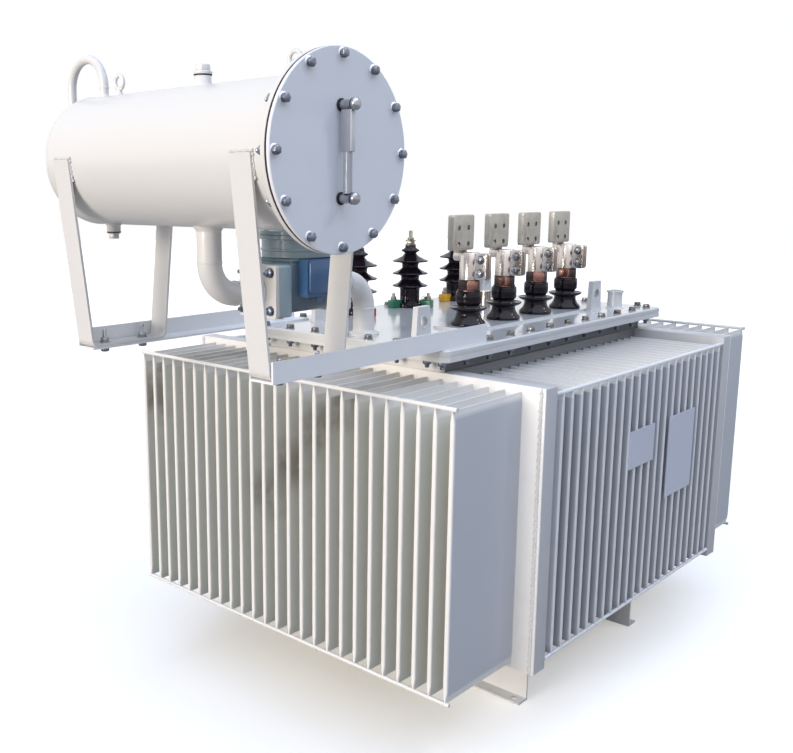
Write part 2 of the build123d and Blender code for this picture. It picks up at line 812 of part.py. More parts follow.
# Low-voltage bushings: a flared skirt, one shed and a collar of porcelain, then the nut,
# the split clamp and the four-hole terminal flag.
for n in range(lv_count):
    lv_x = lv_x0 + n * lv_pitch
    with BuildPart() as lv_porcelain:
        with BuildSketch(Plane((lv_x, lv_y, strip_top_z), x_dir=(1, 0, 0), z_dir=(0, -1, 0))):
            with BuildLine():
                Polyline((0, lv_porcelain_h), (0, 0), (lv_foot_r, 0), (lv_foot_r, lv_foot_h))
                ThreePointArc((lv_foot_r, lv_foot_h), (lv_skirt_r, lv_skirt_h), (lv_waist_r, lv_waist_h))
                Polyline(
                    (lv_waist_r, lv_waist_h),
                    (lv_shed_r, lv_shed_z),
                    (lv_shed_r, lv_shed_z + lv_shed_t),
                    (lv_neck_r, lv_neck_z),
                    (lv_collar_r, lv_collar_z),
                    (lv_collar_r, lv_porcelain_h - lv_collar_round),
                    (lv_collar_r - lv_collar_round, lv_porcelain_h),
                    (0, lv_porcelain_h),
                )
            make_face()
        revolve(axis=Axis((lv_x, lv_y, 0), (0, 0, 1)))
    save(lv_porcelain, f"lv_porcelain_{n + 1}")

    with BuildPart() as lv_terminal:
        with BuildSketch(Plane.XY.offset(lv_clamp_z)):
            with Locations((lv_x, lv_y)):
                Circle(lv_clamp_r)
            with Locations((lv_x, lv_y - lv_ear_reach / 2)):
                Rectangle(2 * lv_ear_t + lv_ear_gap, lv_ear_reach)
        extrude(amount=lv_clamp_h)
        with BuildSketch(Plane.XY.offset(lv_web_z)):
            with Locations((lv_x, lv_y + (lv_flag_back + lv_flag_t) / 2)):
                Rectangle(lv_web_w, lv_flag_back + lv_flag_t)
        extrude(amount=lv_web_h)
        with BuildSketch(Plane.XY.offset(lv_clamp_z)):
            with Locations((lv_x, lv_y)):
                Circle(lv_stem_r)
            with Locations((lv_x, lv_y - lv_ear_reach / 2)):
                Rectangle(lv_ear_gap, lv_ear_reach)
        extrude(amount=lv_clamp_h, mode=Mode.SUBTRACT)
        with BuildSketch(Plane.XZ.offset(-lv_y - lv_flag_back - lv_flag_t)) as flag_outline:
            with Locations((lv_x, lv_flag_z + lv_flag_h / 2)):
                Rectangle(lv_flag_w, lv_flag_h)
            chamfer(flag_outline.vertices(), lv_flag_cut)
            with Locations((lv_x, lv_flag_z + lv_flag_hole_z)):
                with GridLocations(lv_flag_hole_pitch, lv_flag_hole_pitch, 2, 2):
                    Circle(lv_flag_hole_d / 2, mode=Mode.SUBTRACT)
        extrude(amount=lv_flag_t)
        with BuildSketch(Plane.XZ.offset(-lv_y - lv_flag_back - lv_flag_t)):
            with Locations((lv_x, (lv_web_z + lv_flag_z + lv_flag_cut) / 2)):
                Rectangle(lv_web_w, lv_flag_z + lv_flag_cut - lv_web_z)
        extrude(amount=lv_flag_t)
    save(lv_terminal, f"lv_terminal_{n + 1}")

# Hexagon nuts of the low-voltage bushings, each with the stem that the clamp grips.
with BuildPart() as lv_nuts:
    for n in range(lv_count):
        lv_x = lv_x0 + n * lv_pitch
        with BuildSketch(Plane.XY.offset(lv_nut_z)):
            with Locations((lv_x, lv_y)):
                RegularPolygon(lv_nut_af / 2, 6, major_radius=False)
        extrude(amount=lv_nut_h)
        with BuildSketch(Plane.XY.offset(lv_clamp_z)):
            with Locations((lv_x, lv_y)):
                Circle(lv_stem_r - seat_gap)
        extrude(amount=lv_clamp_h)
save(lv_nuts, "lv_nuts")

# High-voltage bushings: sheds on a tapering body, held to the cover by hooked clamps round the foot.
hv_grip_r = hv_foot_r + seat_gap
with BuildPart() as hv_hook:
    with BuildSketch(Plane.XZ):
        Polygon(
            (hv_grip_r, 0),
            (hv_grip_r + hv_clamp_len, 0),
            (hv_grip_r + hv_clamp_len, hv_clamp_h),
            (hv_grip_r - hv_clamp_lip, hv_clamp_h),
            (hv_grip_r - hv_clamp_lip, hv_foot_h + seat_gap),
            (hv_grip_r, hv_foot_h + seat_gap),
            align=None,
        )
    extrude(amount=hv_clamp_w / 2, both=True)

for n in range(hv_count):
    hv_x = hv_x0 + n * hv_pitch
    profile = [(0, hv_porcelain_h), (0, 0), (hv_foot_r, 0), (hv_foot_r, hv_foot_h), (hv_body_r, hv_foot_h)]
    for k in range(hv_shed_count):
        shed_z = hv_shed_z0 + k * hv_shed_pitch
        body_r = hv_body_r - k * hv_body_taper
        profile += [
            (body_r, shed_z - hv_shed_under),
            (hv_shed_r, shed_z - hv_shed_lip),
            (hv_shed_r, shed_z),
            (body_r - hv_body_taper, shed_z + hv_shed_over),
        ]
    profile += [
        (hv_cap_neck_r, hv_cap_z - hv_cap_under),
        (hv_cap_r, hv_cap_z - hv_cap_lip),
        (hv_cap_r, hv_cap_z),
        (hv_cap_neck_r, hv_porcelain_h),
    ]
    with BuildPart() as hv_porcelain:
        with BuildSketch(Plane((hv_x, hv_y, cover_top_z), x_dir=(1, 0, 0), z_dir=(0, -1, 0))):
            with BuildLine():
                Polyline(*profile, close=True)
            make_face()
        revolve(axis=Axis((hv_x, hv_y, 0), (0, 0, 1)))
    save(hv_porcelain, f"hv_porcelain_{n + 1}")

    with BuildPart() as hv_clamps:
        with Locations((hv_x, hv_y, cover_top_z)):
            with PolarLocations(0, hv_clamp_count, start_angle=hv_clamp_turns[n]):
                add(hv_hook.part)
    save(hv_clamps, f"hv_clamps_{n + 1}")

with BuildPart() as hv_studs:
    for n in range(hv_count):
        hv_x = hv_x0 + n * hv_pitch
        with BuildSketch(Plane.XY.offset(cover_top_z + hv_porcelain_h)):
            with Locations((hv_x, hv_y)):
                RegularPolygon(hv_nut_r, 6)
        extrude(amount=hv_nut_h)
        with BuildSketch(Plane.XY.offset(cover_top_z + hv_porcelain_h + hv_nut_h)):
            with Locations((hv_x, hv_y)):
                Circle(hv_stud_r)
        extrude(amount=hv_stud_h)
save(hv_studs, "hv_studs")

# Filling stub and thermometer pocket on the cover.
with BuildPart() as filling_stub:
    with BuildSketch(Plane.XY.offset(cover_top_z)):
        with Locations((filling_x, filling_y)):
            Circle(filling_d / 2)
    extrude(amount=filling_h)
    with BuildSketch(Plane.XY.offset(cover_top_z + filling_h - filling_rim_h)):
        with Locations((filling_x, filling_y)):
            Circle(filling_rim_d / 2)
    extrude(amount=filling_rim_h)
save(filling_stub, "filling_stub")

with BuildPart() as thermometer_pocket:
    with BuildSketch(Plane.XY.offset(cover_top_z)):
        with Locations((pocket_x, pocket_y)):
            Circle(pocket_d / 2)
    extrude(amount=pocket_h)
    with BuildSketch(Plane.XY.offset(cover_top_z + pocket_h - pocket_rim_h)):
        with Locations((pocket_x, pocket_y)):
            Circle(pocket_rim_d / 2)
    extrude(amount=pocket_rim_h)
save(thermometer_pocket, "thermometer_pocket")
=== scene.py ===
from math import cos, pi, radians, sin, sqrt, tan

import bmesh
import bpy
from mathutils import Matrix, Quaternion, Vector


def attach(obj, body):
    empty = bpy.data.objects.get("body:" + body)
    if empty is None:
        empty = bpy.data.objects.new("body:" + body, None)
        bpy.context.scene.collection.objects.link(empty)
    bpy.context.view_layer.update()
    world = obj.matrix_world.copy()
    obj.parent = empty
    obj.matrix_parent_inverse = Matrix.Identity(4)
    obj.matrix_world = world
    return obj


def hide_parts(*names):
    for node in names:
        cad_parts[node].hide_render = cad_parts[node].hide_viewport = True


# Looks of the power transformer. Shapes are in millimetres, as in the part's source, finishes and the camera in metres.

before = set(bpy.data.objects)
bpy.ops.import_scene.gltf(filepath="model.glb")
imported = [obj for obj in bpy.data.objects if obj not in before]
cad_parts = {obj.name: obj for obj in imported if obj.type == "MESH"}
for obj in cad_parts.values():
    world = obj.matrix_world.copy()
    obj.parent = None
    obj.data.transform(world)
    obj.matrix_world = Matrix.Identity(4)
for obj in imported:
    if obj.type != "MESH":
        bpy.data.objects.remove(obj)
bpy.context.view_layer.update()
MM = 0.001
UP, DOWN = (0, 0, 1), (0, 0, -1)
FRONT, BACK = (0, -1, 0), (0, 1, 0)
LEFT, RIGHT = (-1, 0, 0), (1, 0, 0)
NEAR = 0.01  # points nearer than this are one
SHARP = 35  # degrees from which an edge is rounded
SMOOTH = 40  # degrees up to which an edge is shaded smooth


# Ways of modelling


def begin():
    """Nothing is selected, so that the next operator works on the new piece alone."""
    bpy.ops.object.select_all(action="DESELECT")


def finish(name, smooth=SMOOTH):
    """Puts the piece's place and turn into its mesh and shades its rounded faces smooth."""
    piece = bpy.context.object
    bpy.ops.object.transform_apply(location=True, rotation=True, scale=True)
    bpy.ops.object.shade_smooth_by_angle(angle=radians(smooth))
    piece.name = piece.data.name = name
    return piece


def aim(piece, at, axis=UP, turn=0):
    """Moves a piece made at the origin to its place, its top towards axis."""
    piece.rotation_mode = "QUATERNION"
    swing = Vector(UP).rotation_difference(Vector(axis))
    piece.rotation_quaternion = swing @ Quaternion(UP, radians(turn))
    piece.location = Vector(at) * MM


def modify(kind, **settings):
    """Adds a modifier to the piece in hand and applies it."""
    modifier = bpy.context.object.modifiers.new(kind.lower(), kind)
    for key, value in settings.items():
        setattr(modifier, key, value)
    bpy.ops.object.modifier_apply(modifier=modifier.name)


def round_edges(width, segments=2):
    modify("BEVEL", width=width * MM, segments=segments, limit_method="ANGLE", angle_limit=radians(SHARP))


def pick(kind, chosen):
    """Goes into edit mode and selects the chosen points (VERT) or edges (EDGE) of the piece in hand."""
    data = bpy.context.object.data
    bpy.ops.object.mode_set(mode="EDIT")
    bpy.ops.mesh.select_mode(type=kind)
    mesh = bmesh.from_edit_mesh(data)
    for part in mesh.verts if kind == "VERT" else mesh.edges:
        part.select = chosen(part)
    bmesh.update_edit_mesh(data)


def leave():
    """Back from edit mode to the finished mesh."""
    bpy.ops.mesh.select_mode(type="VERT")
    bpy.ops.object.mode_set(mode="OBJECT")


def runs(line, way):
    """Whether an edge runs along X, Y or Z, as way is 0, 1 or 2."""
    return abs(line.verts[1].co[way] - line.verts[0].co[way]) > MM


def turned(name, profile, at=(0, 0, 0), axis=UP, steps=48):
    """Turned piece: the profile is (radius, height) pairs from the bottom of the axis to its top."""
    begin()
    bpy.ops.mesh.primitive_plane_add(size=MM)
    bpy.ops.object.mode_set(mode="EDIT")
    bpy.ops.mesh.merge(type="CENTER")
    radius, height = profile[0]
    bpy.ops.transform.translate(value=(radius * MM, 0, height * MM))
    for next_radius, next_height in profile[1:]:
        step = ((next_radius - radius) * MM, 0, (next_height - height) * MM)
        bpy.ops.mesh.extrude_vertices_move(TRANSFORM_OT_translate={"value": step})
        radius, height = next_radius, next_height
    bpy.ops.mesh.select_all(action="SELECT")
    bpy.ops.mesh.spin(steps=steps, angle=2 * pi, center=(0, 0, 0), axis=UP)
    bpy.ops.mesh.select_all(action="SELECT")
    bpy.ops.mesh.remove_doubles(threshold=NEAR * MM)
    bpy.ops.mesh.normals_make_consistent(inside=False)
    bpy.ops.object.mode_set(mode="OBJECT")
    aim(bpy.context.object, at, axis)
    return finish(name)


def rough_block(low, high):
    """Sharp block between two corners, to be worked on."""
    begin()
    middle = [(a + b) / 2 * MM for a, b in zip(low, high)]
    bpy.ops.mesh.primitive_cube_add(size=1, location=middle)
    bpy.context.object.scale = [(b - a) * MM for a, b in zip(low, high)]
    bpy.ops.object.transform_apply(location=True, rotation=True, scale=True)


def block(name, low, high, edge=1.0, segments=2):
    """Block between two corners, with rounded edges."""
    rough_block(low, high)
    round_edges(edge, segments)
    return finish(name)


def slab(name, low, high, corner, way, edge=1.0):
    """Block whose edges along one way (0 for X, 1 for Y, 2 for Z) are rounded more than the others."""
    rough_block(low, high)
    pick("EDGE", lambda line: runs(line, way))
    bpy.ops.mesh.bevel(offset=corner * MM, segments=5)
    leave()
    round_edges(edge)
    return finish(name)


def prism(name, sides, radius, height, at=(0, 0, 0), axis=UP, edge=1.0, turn=0):
    """Regular bar of so many sides, standing on its place, with rounded edges."""
    begin()
    bpy.ops.mesh.primitive_cylinder_add(
        vertices=sides, radius=radius * MM, depth=height * MM, location=(0, 0, height / 2 * MM)
    )
    bpy.ops.object.transform_apply(location=True, rotation=True, scale=True)
    round_edges(edge)
    aim(bpy.context.object, at, axis, turn)
    return finish(name)


def pipe(name, corners, radius, bend=0, steps=12, sides=32):
    """Bent pipe: its straight runs are extruded and its bends are spun."""
    begin()
    corners = [Vector(corner) * MM for corner in corners]
    bend = bend * MM
    here = corners[0].copy()
    going = (corners[1] - here).normalized()
    bpy.ops.mesh.primitive_circle_add(vertices=sides, radius=radius * MM, fill_type="NGON")
    aim(bpy.context.object, here / MM, going)
    bpy.ops.object.transform_apply(location=True, rotation=True, scale=True)
    bpy.ops.object.mode_set(mode="EDIT")
    bpy.ops.mesh.select_all(action="SELECT")
    for corner, beyond in zip(corners[1:], corners[2:] + [None]):
        if beyond is None:
            reach, after = 0, going
        else:
            after = (beyond - corner).normalized()
            angle = going.angle(after)
            reach = bend * tan(angle / 2)
        run = corner - going * reach - here
        if run.length > NEAR * MM:
            bpy.ops.mesh.extrude_region_move(TRANSFORM_OT_translate={"value": run})
        here += run
        if beyond is not None:
            side = (after - going * going.dot(after)).normalized() * bend
            bpy.ops.mesh.spin(steps=steps, angle=angle, center=here + side, axis=side.cross(going).normalized())
            here, going = corner + after * reach, after
    bpy.ops.mesh.select_all(action="DESELECT")
    bpy.ops.mesh.select_non_manifold()
    bpy.ops.mesh.edge_face_add()
    bpy.ops.mesh.select_all(action="SELECT")
    bpy.ops.mesh.normals_make_consistent(inside=False)
    bpy.ops.object.mode_set(mode="OBJECT")
    return finish(name)


def ring(name, major, minor, at, axis=UP, steps=64):
    """Round bead or ring."""
    begin()
    bpy.ops.mesh.primitive_torus_add(
        major_radius=major * MM, minor_radius=minor * MM, major_segments=steps, minor_segments=10
    )
    aim(bpy.context.object, at, axis)
    return finish(name)


def join(name, pieces):
    """Joins finished pieces to one."""
    begin()
    for piece in pieces:
        piece.select_set(True)
    bpy.context.view_layer.objects.active = pieces[0]
    bpy.ops.object.join()
    piece = bpy.context.object
    piece.name = piece.data.name = name
    return piece


def repeat(name, master, places):
    """Copies a piece made at the origin to every (place, axis, turn) and joins the copies."""
    copies = []
    for at, axis, turn in places:
        copy = master.copy()
        copy.data = master.data.copy()
        bpy.context.collection.objects.link(copy)
        aim(copy, at, axis, turn)
        copies.append(copy)
    begin()
    for copy in copies:
        copy.select_set(True)
    bpy.context.view_layer.objects.active = copies[0]
    bpy.ops.object.transform_apply(location=True, rotation=True, scale=True)
    return join(name, copies)


def cut(piece, cutter):
    """Takes one piece out of another."""
    begin()
    piece.select_set(True)
    bpy.context.view_layer.objects.active = piece
    modify("BOOLEAN", operation="DIFFERENCE", solver="EXACT", object=cutter)
    bpy.data.objects.remove(cutter)
    bpy.ops.object.shade_smooth_by_angle(angle=radians(SMOOTH))


def drop(length=5, width=5, height=2.5):
    """One ripple of a weld bead, half as long again as the length that it fills."""
    begin()
    bpy.ops.mesh.primitive_uv_sphere_add(segments=8, ring_count=6, radius=1)
    bpy.context.object.scale = (length * 0.75 * MM, width / 2 * MM, height * MM)
    return finish("drop", 180)


def along(start, end, step, axis=UP, wander=0.0):
    """Places for weld ripples from start to end, each turned and shifted a little, as a hand leaves them."""
    start, end = Vector(start), Vector(end)
    count = max(2, round((end - start).length / step))
    places = []
    for k in range(count + 1):
        at = start.lerp(end, k / count)
        shift = Vector((sin(k * 2.3), sin(k * 1.7 + 1), sin(k * 2.9 + 2))) * wander
        places.append((at + shift, axis, (k * 37) % 360))
    return places


# Finishes


def finish_nodes(name, colour, roughness, metallic=0.0, coat=0.0, specular=0.5):
    """A new finish, its net of nodes and its shader, and the piece's own coordinates to drive its pattern."""
    material = bpy.data.materials.new(name)
    material.use_nodes = True
    net = material.node_tree
    shader = net.nodes["Principled BSDF"]
    shader.inputs["Base Color"].default_value = (*colour, 1)
    shader.inputs["Roughness"].default_value = roughness
    shader.inputs["Metallic"].default_value = metallic
    shader.inputs["Coat Weight"].default_value = coat
    shader.inputs["Coat Roughness"].default_value = 0.08
    shader.inputs["Specular IOR Level"].default_value = specular
    place = net.nodes.new("ShaderNodeTexCoord")
    return material, net, shader, place.outputs["Object"]


def noise(net, place, scale, detail=3.0, stretch=None):
    """Noise over the piece, at so many features a metre."""
    if stretch is not None:
        mapping = net.nodes.new("ShaderNodeMapping")
        mapping.inputs["Scale"].default_value = stretch
        net.links.new(place, mapping.inputs["Vector"])
        place = mapping.outputs["Vector"]
    texture = net.nodes.new("ShaderNodeTexNoise")
    texture.inputs["Scale"].default_value = scale
    texture.inputs["Detail"].default_value = detail
    net.links.new(place, texture.inputs["Vector"])
    return texture.outputs["Fac"]


def spread(net, value, low, high, to_low=0.0, to_high=1.0):
    """Stretches part of a value's range."""
    node = net.nodes.new("ShaderNodeMapRange")
    node.inputs["From Min"].default_value = low
    node.inputs["From Max"].default_value = high
    node.inputs["To Min"].default_value = to_low
    node.inputs["To Max"].default_value = to_high
    net.links.new(value, node.inputs["Value"])
    return node.outputs["Result"]


def both(net, first, second, operation="MULTIPLY"):
    """The share where both hold, or, with MAXIMUM, where either does."""
    node = net.nodes.new("ShaderNodeMath")
    node.operation = operation
    net.links.new(first, node.inputs[0])
    net.links.new(second, node.inputs[1])
    return node.outputs["Value"]


def blend(net, share, first, second):
    """Mixes two colours, each a colour or a socket, by a share."""
    node = net.nodes.new("ShaderNodeMix")
    node.data_type = "RGBA"
    net.links.new(share, node.inputs["Factor"])
    for socket, colour in ((node.inputs[6], first), (node.inputs[7], second)):
        if isinstance(colour, tuple):
            socket.default_value = (*colour, 1)
        else:
            net.links.new(colour, socket)
    return node.outputs[2]


def bumps(net, shader, height, distance, strength=1.0):
    node = net.nodes.new("ShaderNodeBump")
    node.inputs["Distance"].default_value = distance * MM
    node.inputs["Strength"].default_value = strength
    net.links.new(height, node.inputs["Height"])
    net.links.new(node.outputs["Normal"], shader.inputs["Normal"])


pale_share, dark_share, dust_share = 1.01, 0.975, (0.72, 0.69, 0.64)


def paint(name, colour, roughness=0.38, dust=0.5, coat=0.15, peel=0.12, fins=None):
    """Sprayed paint: faint mottling, a little dust and orange peel, and on a finned wall painted shade between the
    fins.
    """
    material, net, shader, place = finish_nodes(name, colour, roughness, coat=coat)
    light = tuple(min(1, c * pale_share) for c in colour)
    dark = tuple(c * dark_share for c in colour)
    shade = blend(net, noise(net, place, 6, 4), dark, light)
    dirt = spread(net, noise(net, place, 23, 8), 0.52, 0.78, 0, dust * 0.35)
    shade = blend(net, dirt, shade, tuple(c * share for c, share in zip(colour, dust_share)))
    if fins:
        shade = between_fins(net, place, shade, **fins)
    net.links.new(shade, shader.inputs["Base Color"])
    gloss = spread(net, noise(net, place, 30, 4), 0.3, 0.7, roughness * 0.95, roughness * 1.08)
    net.links.new(gloss, shader.inputs["Roughness"])
    if peel:
        bumps(net, shader, noise(net, place, 420, 2), peel, 0.6)
    return material


# Colours for finned walls: painted shade on the last fins' outer faces, brown patches, and painted shade on the sheet
# behind the fins
last_fin_shade, brown_patch, sheet_shade = (0.5, 0.51, 0.53), (0.27, 0.215, 0.15), (0.16, 0.165, 0.165)


def between_fins(net, place, shade, axis, tip, last, wall, gap_shade, dark_wall=True,
                 fade=(0.008, 0.003), top=0.894, smudges=()):
    """Painted shade between a wall's fins, with brown patches in it, painted shade on the outer faces of the last fins,
    and a dark sheet behind them, which is painted shade too.

    The fins point along axis. From the tank's middle, tip is where they end, wall is the sheet behind them, and last is
    the last fin's outer face. The painted shade in the gaps fades out at two distances before the tips, and ends at the
    height top.
    the last fin's outer face. The grime fades out at two distances before the tips, and ends at the height top.
    """
    split = net.nodes.new("ShaderNodeSeparateXYZ")
    net.links.new(place, split.inputs["Vector"])
    distances = []
    for way in (axis, "Y" if axis == "X" else "X"):
        distance = net.nodes.new("ShaderNodeMath")
        distance.operation = "ABSOLUTE"
        net.links.new(split.outputs[way], distance.inputs[0])
        distances.append(distance.outputs["Value"])
    depth, aside = distances
    inside = spread(net, depth, tip - fade[0], tip - fade[1], 1, 0)
    outer = spread(net, aside, last - 0.002, last)
    outer = both(net, outer, spread(net, depth, wall + 0.002, wall + 0.004))
    # Painted shade: grey on the outer faces of the last fins
    shade = blend(net, both(net, inside, outer), shade, last_fin_shade)
    inside = both(net, inside, spread(net, aside, last - 0.002, last, 1, 0))
    inside = both(net, inside, spread(net, split.outputs["Z"], top, top + 0.004, 1, 0))
    # Painted shade in the gaps between the fins, below the height top
    shade = blend(net, inside, shade, gap_shade)
    # Brown patches, only in the gaps between the fins
    for middle, radius in smudges:
        squash = net.nodes.new("ShaderNodeMapping")
        squash.inputs["Scale"].default_value = (0.2, 1, 1)
        net.links.new(place, squash.inputs["Vector"])
        reach = net.nodes.new("ShaderNodeVectorMath")
        reach.operation = "DISTANCE"
        reach.inputs[1].default_value = middle
        net.links.new(squash.outputs["Vector"], reach.inputs[0])
        patch = spread(net, reach.outputs["Value"], radius * 0.3, radius, 0.6, 0)
        cloud = spread(net, noise(net, place, 14, 4), 0.35, 0.55)
        patch = both(net, both(net, patch, cloud), inside)
        shade = blend(net, patch, shade, brown_patch)
    if not dark_wall:
        return shade
    # Painted shade: the sheet behind the fins is dark
    behind = spread(net, depth, wall + 0.001, wall + 0.004, 1, 0)
    return blend(net, behind, shade, sheet_shade)


def metal(name, colour, roughness=0.3, tarnish_and_shade=(0.3, 0.27, 0.24), amount=0.35, streaks=None, lit_side=None,
          fall=(0.84, 0.9)):
    """Bare or plated metal with cloudy tarnish and fine scratches. Faces turned away from the lit side are darkened all
    over, as painted shade.
    """
    material, net, shader, place = finish_nodes(name, colour, roughness, metallic=1.0)
    cloud = spread(net, noise(net, place, 55, 6, streaks), 0.45, 0.8, 0, amount)
    shade = blend(net, cloud, colour, tarnish_and_shade)
    # Painted shade: faces turned away from the lit side take the tarnish colour
    if lit_side:
        facing = net.nodes.new("ShaderNodeVectorMath")
        facing.operation = "DOT_PRODUCT"
        facing.inputs[1].default_value = lit_side
        net.links.new(net.nodes["Texture Coordinate"].outputs["Normal"], facing.inputs[0])
        shade = blend(net, spread(net, facing.outputs["Value"], *fall), tarnish_and_shade, shade)
    net.links.new(shade, shader.inputs["Base Color"])
    scratch = noise(net, place, 900, 3, (1, 1, 0.08))
    net.links.new(spread(net, scratch, 0.3, 0.7, roughness * 0.75, roughness * 1.35), shader.inputs["Roughness"])
    bumps(net, shader, scratch, 0.04, 0.5)
    return material


def glaze(name, colour):
    """Fired glaze: nearly black, glossy, with faint ripples and dust."""
    material, net, shader, place = finish_nodes(name, colour, 0.05, specular=0.25)
    streak = noise(net, place, 18, 5, (1, 1, 0.35))
    shade = blend(net, streak, colour, tuple(c * 1.6 for c in colour))
    dust = spread(net, noise(net, place, 60, 7), 0.58, 0.85, 0, 0.03)
    net.links.new(blend(net, dust, shade, (0.3, 0.28, 0.26)), shader.inputs["Base Color"])
    net.links.new(spread(net, streak, 0.3, 0.7, 0.03, 0.08), shader.inputs["Roughness"])
    bumps(net, shader, noise(net, place, 70, 2), 0.12, 0.5)
    return material


def rubber(name, colour=(0.012, 0.012, 0.013)):
    """Matt rubber with a fine grain and pale dust."""
    material, net, shader, place = finish_nodes(name, colour, 0.65, specular=0.3)
    dust = spread(net, noise(net, place, 45, 6), 0.5, 0.8, 0, 0.3)
    net.links.new(blend(net, dust, colour, (0.13, 0.125, 0.12)), shader.inputs["Base Color"])
    bumps(net, shader, noise(net, place, 700, 2), 0.15, 0.6)
    return material


light_grey = (0.7, 0.686, 0.662)
tank_paint = paint("tank_paint", light_grey)
# Painted shade between the fins of the side and end walls, and where it stops
side_gaps = {"axis": "Y", "tip": 0.605, "last": 0.478, "wall": 0.318, "gap_shade": (0.19, 0.2, 0.225)}
side_gaps |= {"fade": (0.026, -0.006), "top": 0.892}
end_gaps = {"axis": "X", "tip": 0.835, "last": 0.545, "wall": 0.56, "dark_wall": False, "gap_shade": (0.72, 0.715, 0.645)}
# Brown patches in the gaps between the end fins
brown_patch_places = ((-0.2, 0.88), (-0.13, 0.8), (-0.04, 0.7), (0.04, 0.6), (0.5, 0.87), (0.51, 0.78))
end_gaps["smudges"] = [((-0.16, y, z), 0.08) for y, z in brown_patch_places]
# Painted shade: the tank's own walls are dark behind the side fins and pale beyond them
shell_wall_shade = {"axis": "X", "tip": 0, "last": 1, "wall": 0.54, "gap_shade": light_grey}
wall_shade_paint = paint("tank_wall_paint", light_grey, roughness=0.5, fins=shell_wall_shade)
# The fin paints are paler than the tank's paint, as painted light on the fin tips, and carry painted shade between the
# fins
side_fin_paint = paint("side_fin_paint", (0.92, 0.91, 0.89), roughness=0.42, fins=side_gaps)
end_fin_paint = paint("end_fin_paint", (0.84, 0.81, 0.76), roughness=0.42, fins=end_gaps)
# The wings are painted darker than the tank, as painted shade
wing_shade_paint = paint("wing_shade_paint", (0.53, 0.525, 0.525), roughness=0.42, peel=0.06)
cover_paint = paint("cover_paint", light_grey, roughness=0.16, dust=0.25, coat=0.4, peel=0.05)
drum_paint = paint("drum_paint", (0.73, 0.705, 0.667), roughness=0.3, dust=0.02, coat=0.3, peel=0)
plate_paint = paint("plate_paint", (0.8, 0.805, 0.82), roughness=0.33, dust=0.08, peel=0)
beam_paint = paint("beam_paint", (0.86, 0.855, 0.845), roughness=0.35, dust=0.1, peel=0)
blank_paint = paint("blank_plate_paint", (0.58, 0.6, 0.67), roughness=0.35, dust=0.08, peel=0)
weld_paint = paint("weld_paint", (0.66, 0.645, 0.62), roughness=0.4, dust=0.6, peel=0.3)
relay_paint = paint("relay_paint", (0.2, 0.265, 0.285), roughness=0.3, coat=0.3, peel=0.4)
guard_paint = paint("guard_paint", (0.32, 0.335, 0.38), roughness=0.2, dust=0.1, coat=0.8, peel=0)
relay_end_paint = paint("relay_end_paint", (0.34, 0.44, 0.48), roughness=0.35, peel=0.3)
relay_dark = paint("relay_dark_paint", (0.09, 0.14, 0.175), roughness=0.3, coat=0.3, peel=0.3)
blue_paint = paint("blue_paint", (0.045, 0.12, 0.25), roughness=0.3, coat=0.3)
red_enamel = paint("red_enamel", (0.42, 0.03, 0.02), roughness=0.3)
green_enamel = paint("green_enamel", (0.01, 0.16, 0.075), roughness=0.3)
yellow_enamel = paint("yellow_enamel", (0.75, 0.38, 0.01), roughness=0.3)
# Nickel and copper are darkened on the faces turned away from one side, as painted shade, besides their real tarnish
nickel = metal(
    "nickel", (0.74, 0.68, 0.64), 0.26, tarnish_and_shade=(0.31, 0.25, 0.23), amount=0.7, streaks=(1, 1, 0.06),
    lit_side=(-0.85, 0.1, 0.52), fall=(-0.1, 0.85),
)
flag_plate = metal("flag_plate", (0.47, 0.455, 0.42), 0.42, amount=0.5)
# Copper's dark brown: its tarnish, and painted shade on the faces turned away from the lit side
brown = (0.075, 0.06, 0.058)
copper = metal("brown_copper", (0.4, 0.2, 0.16), 0.28, tarnish_and_shade=brown, amount=0.6, lit_side=(-0.82, -0.57, 0))
aged_steel = metal("aged_steel", (0.24, 0.235, 0.23), 0.28, tarnish_and_shade=(0.04, 0.037, 0.035), amount=0.9)
zinc = metal("zinc_bolts", (0.42, 0.43, 0.46), 0.26, tarnish_and_shade=(0.1, 0.1, 0.11), amount=0.9)
# Pale zinc: a painted highlight for the end plate's washers
highlight_zinc = metal("highlight_zinc", (0.78, 0.8, 0.84), 0.3, amount=0.3)
dark_zinc = metal("dark_zinc", (0.22, 0.24, 0.3), 0.32, tarnish_and_shade=(0.07, 0.07, 0.08), amount=0.8)
bronze = metal("bronze", (0.36, 0.32, 0.27), 0.36, tarnish_and_shade=(0.12, 0.1, 0.08), amount=0.7)
porcelain = glaze("porcelain", (0.009, 0.006, 0.009))
black_rubber = rubber("black_rubber")
gasket_rubber = rubber("gasket_rubber", (0.035, 0.014, 0.014))


def keep(piece, look, slot, *nodes):
    """Paints a finished piece, hangs it on the frame and hides the CAD solids it stands for."""
    piece.data.materials.clear()
    piece.data.materials.append(look)
    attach(piece, "root")
    if nodes:
        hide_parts(*nodes)
    return piece


def repaint(look, *names):
    """Gives CAD nodes a finish."""
    for name in names:
        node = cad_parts[name]
        node.data.materials.clear()
        node.data.materials.append(look)


repaint(wall_shade_paint, "tank_shell")
repaint(tank_paint, "tank_flange")
repaint(weld_paint, "cover_gasket")
repaint(tank_paint, "skid_left", "skid_right")
repaint(cover_paint, "tank_cover")
repaint(blank_paint, "blank_plates")
repaint(beam_paint, "beam_front", "beam_rear")
repaint(drum_paint, "strap_front", "strap_rear")
repaint(gasket_rubber, "conservator_gasket")

# Corrugated walls: sheet, fins pinched flat along top and bottom, and the rods that tie their tips
wall_low, wall_high, fin_pitch = 225, 935, 45
end_wall_x, side_wall_y, sheet_thick = 560, 318, 5
wing_in_x, wing_out_x, wing_in_y, wing_out_y = 505, 555, 313, 605
fin_thick, pinched_share, rod_r = 12, 1 / 3, 5


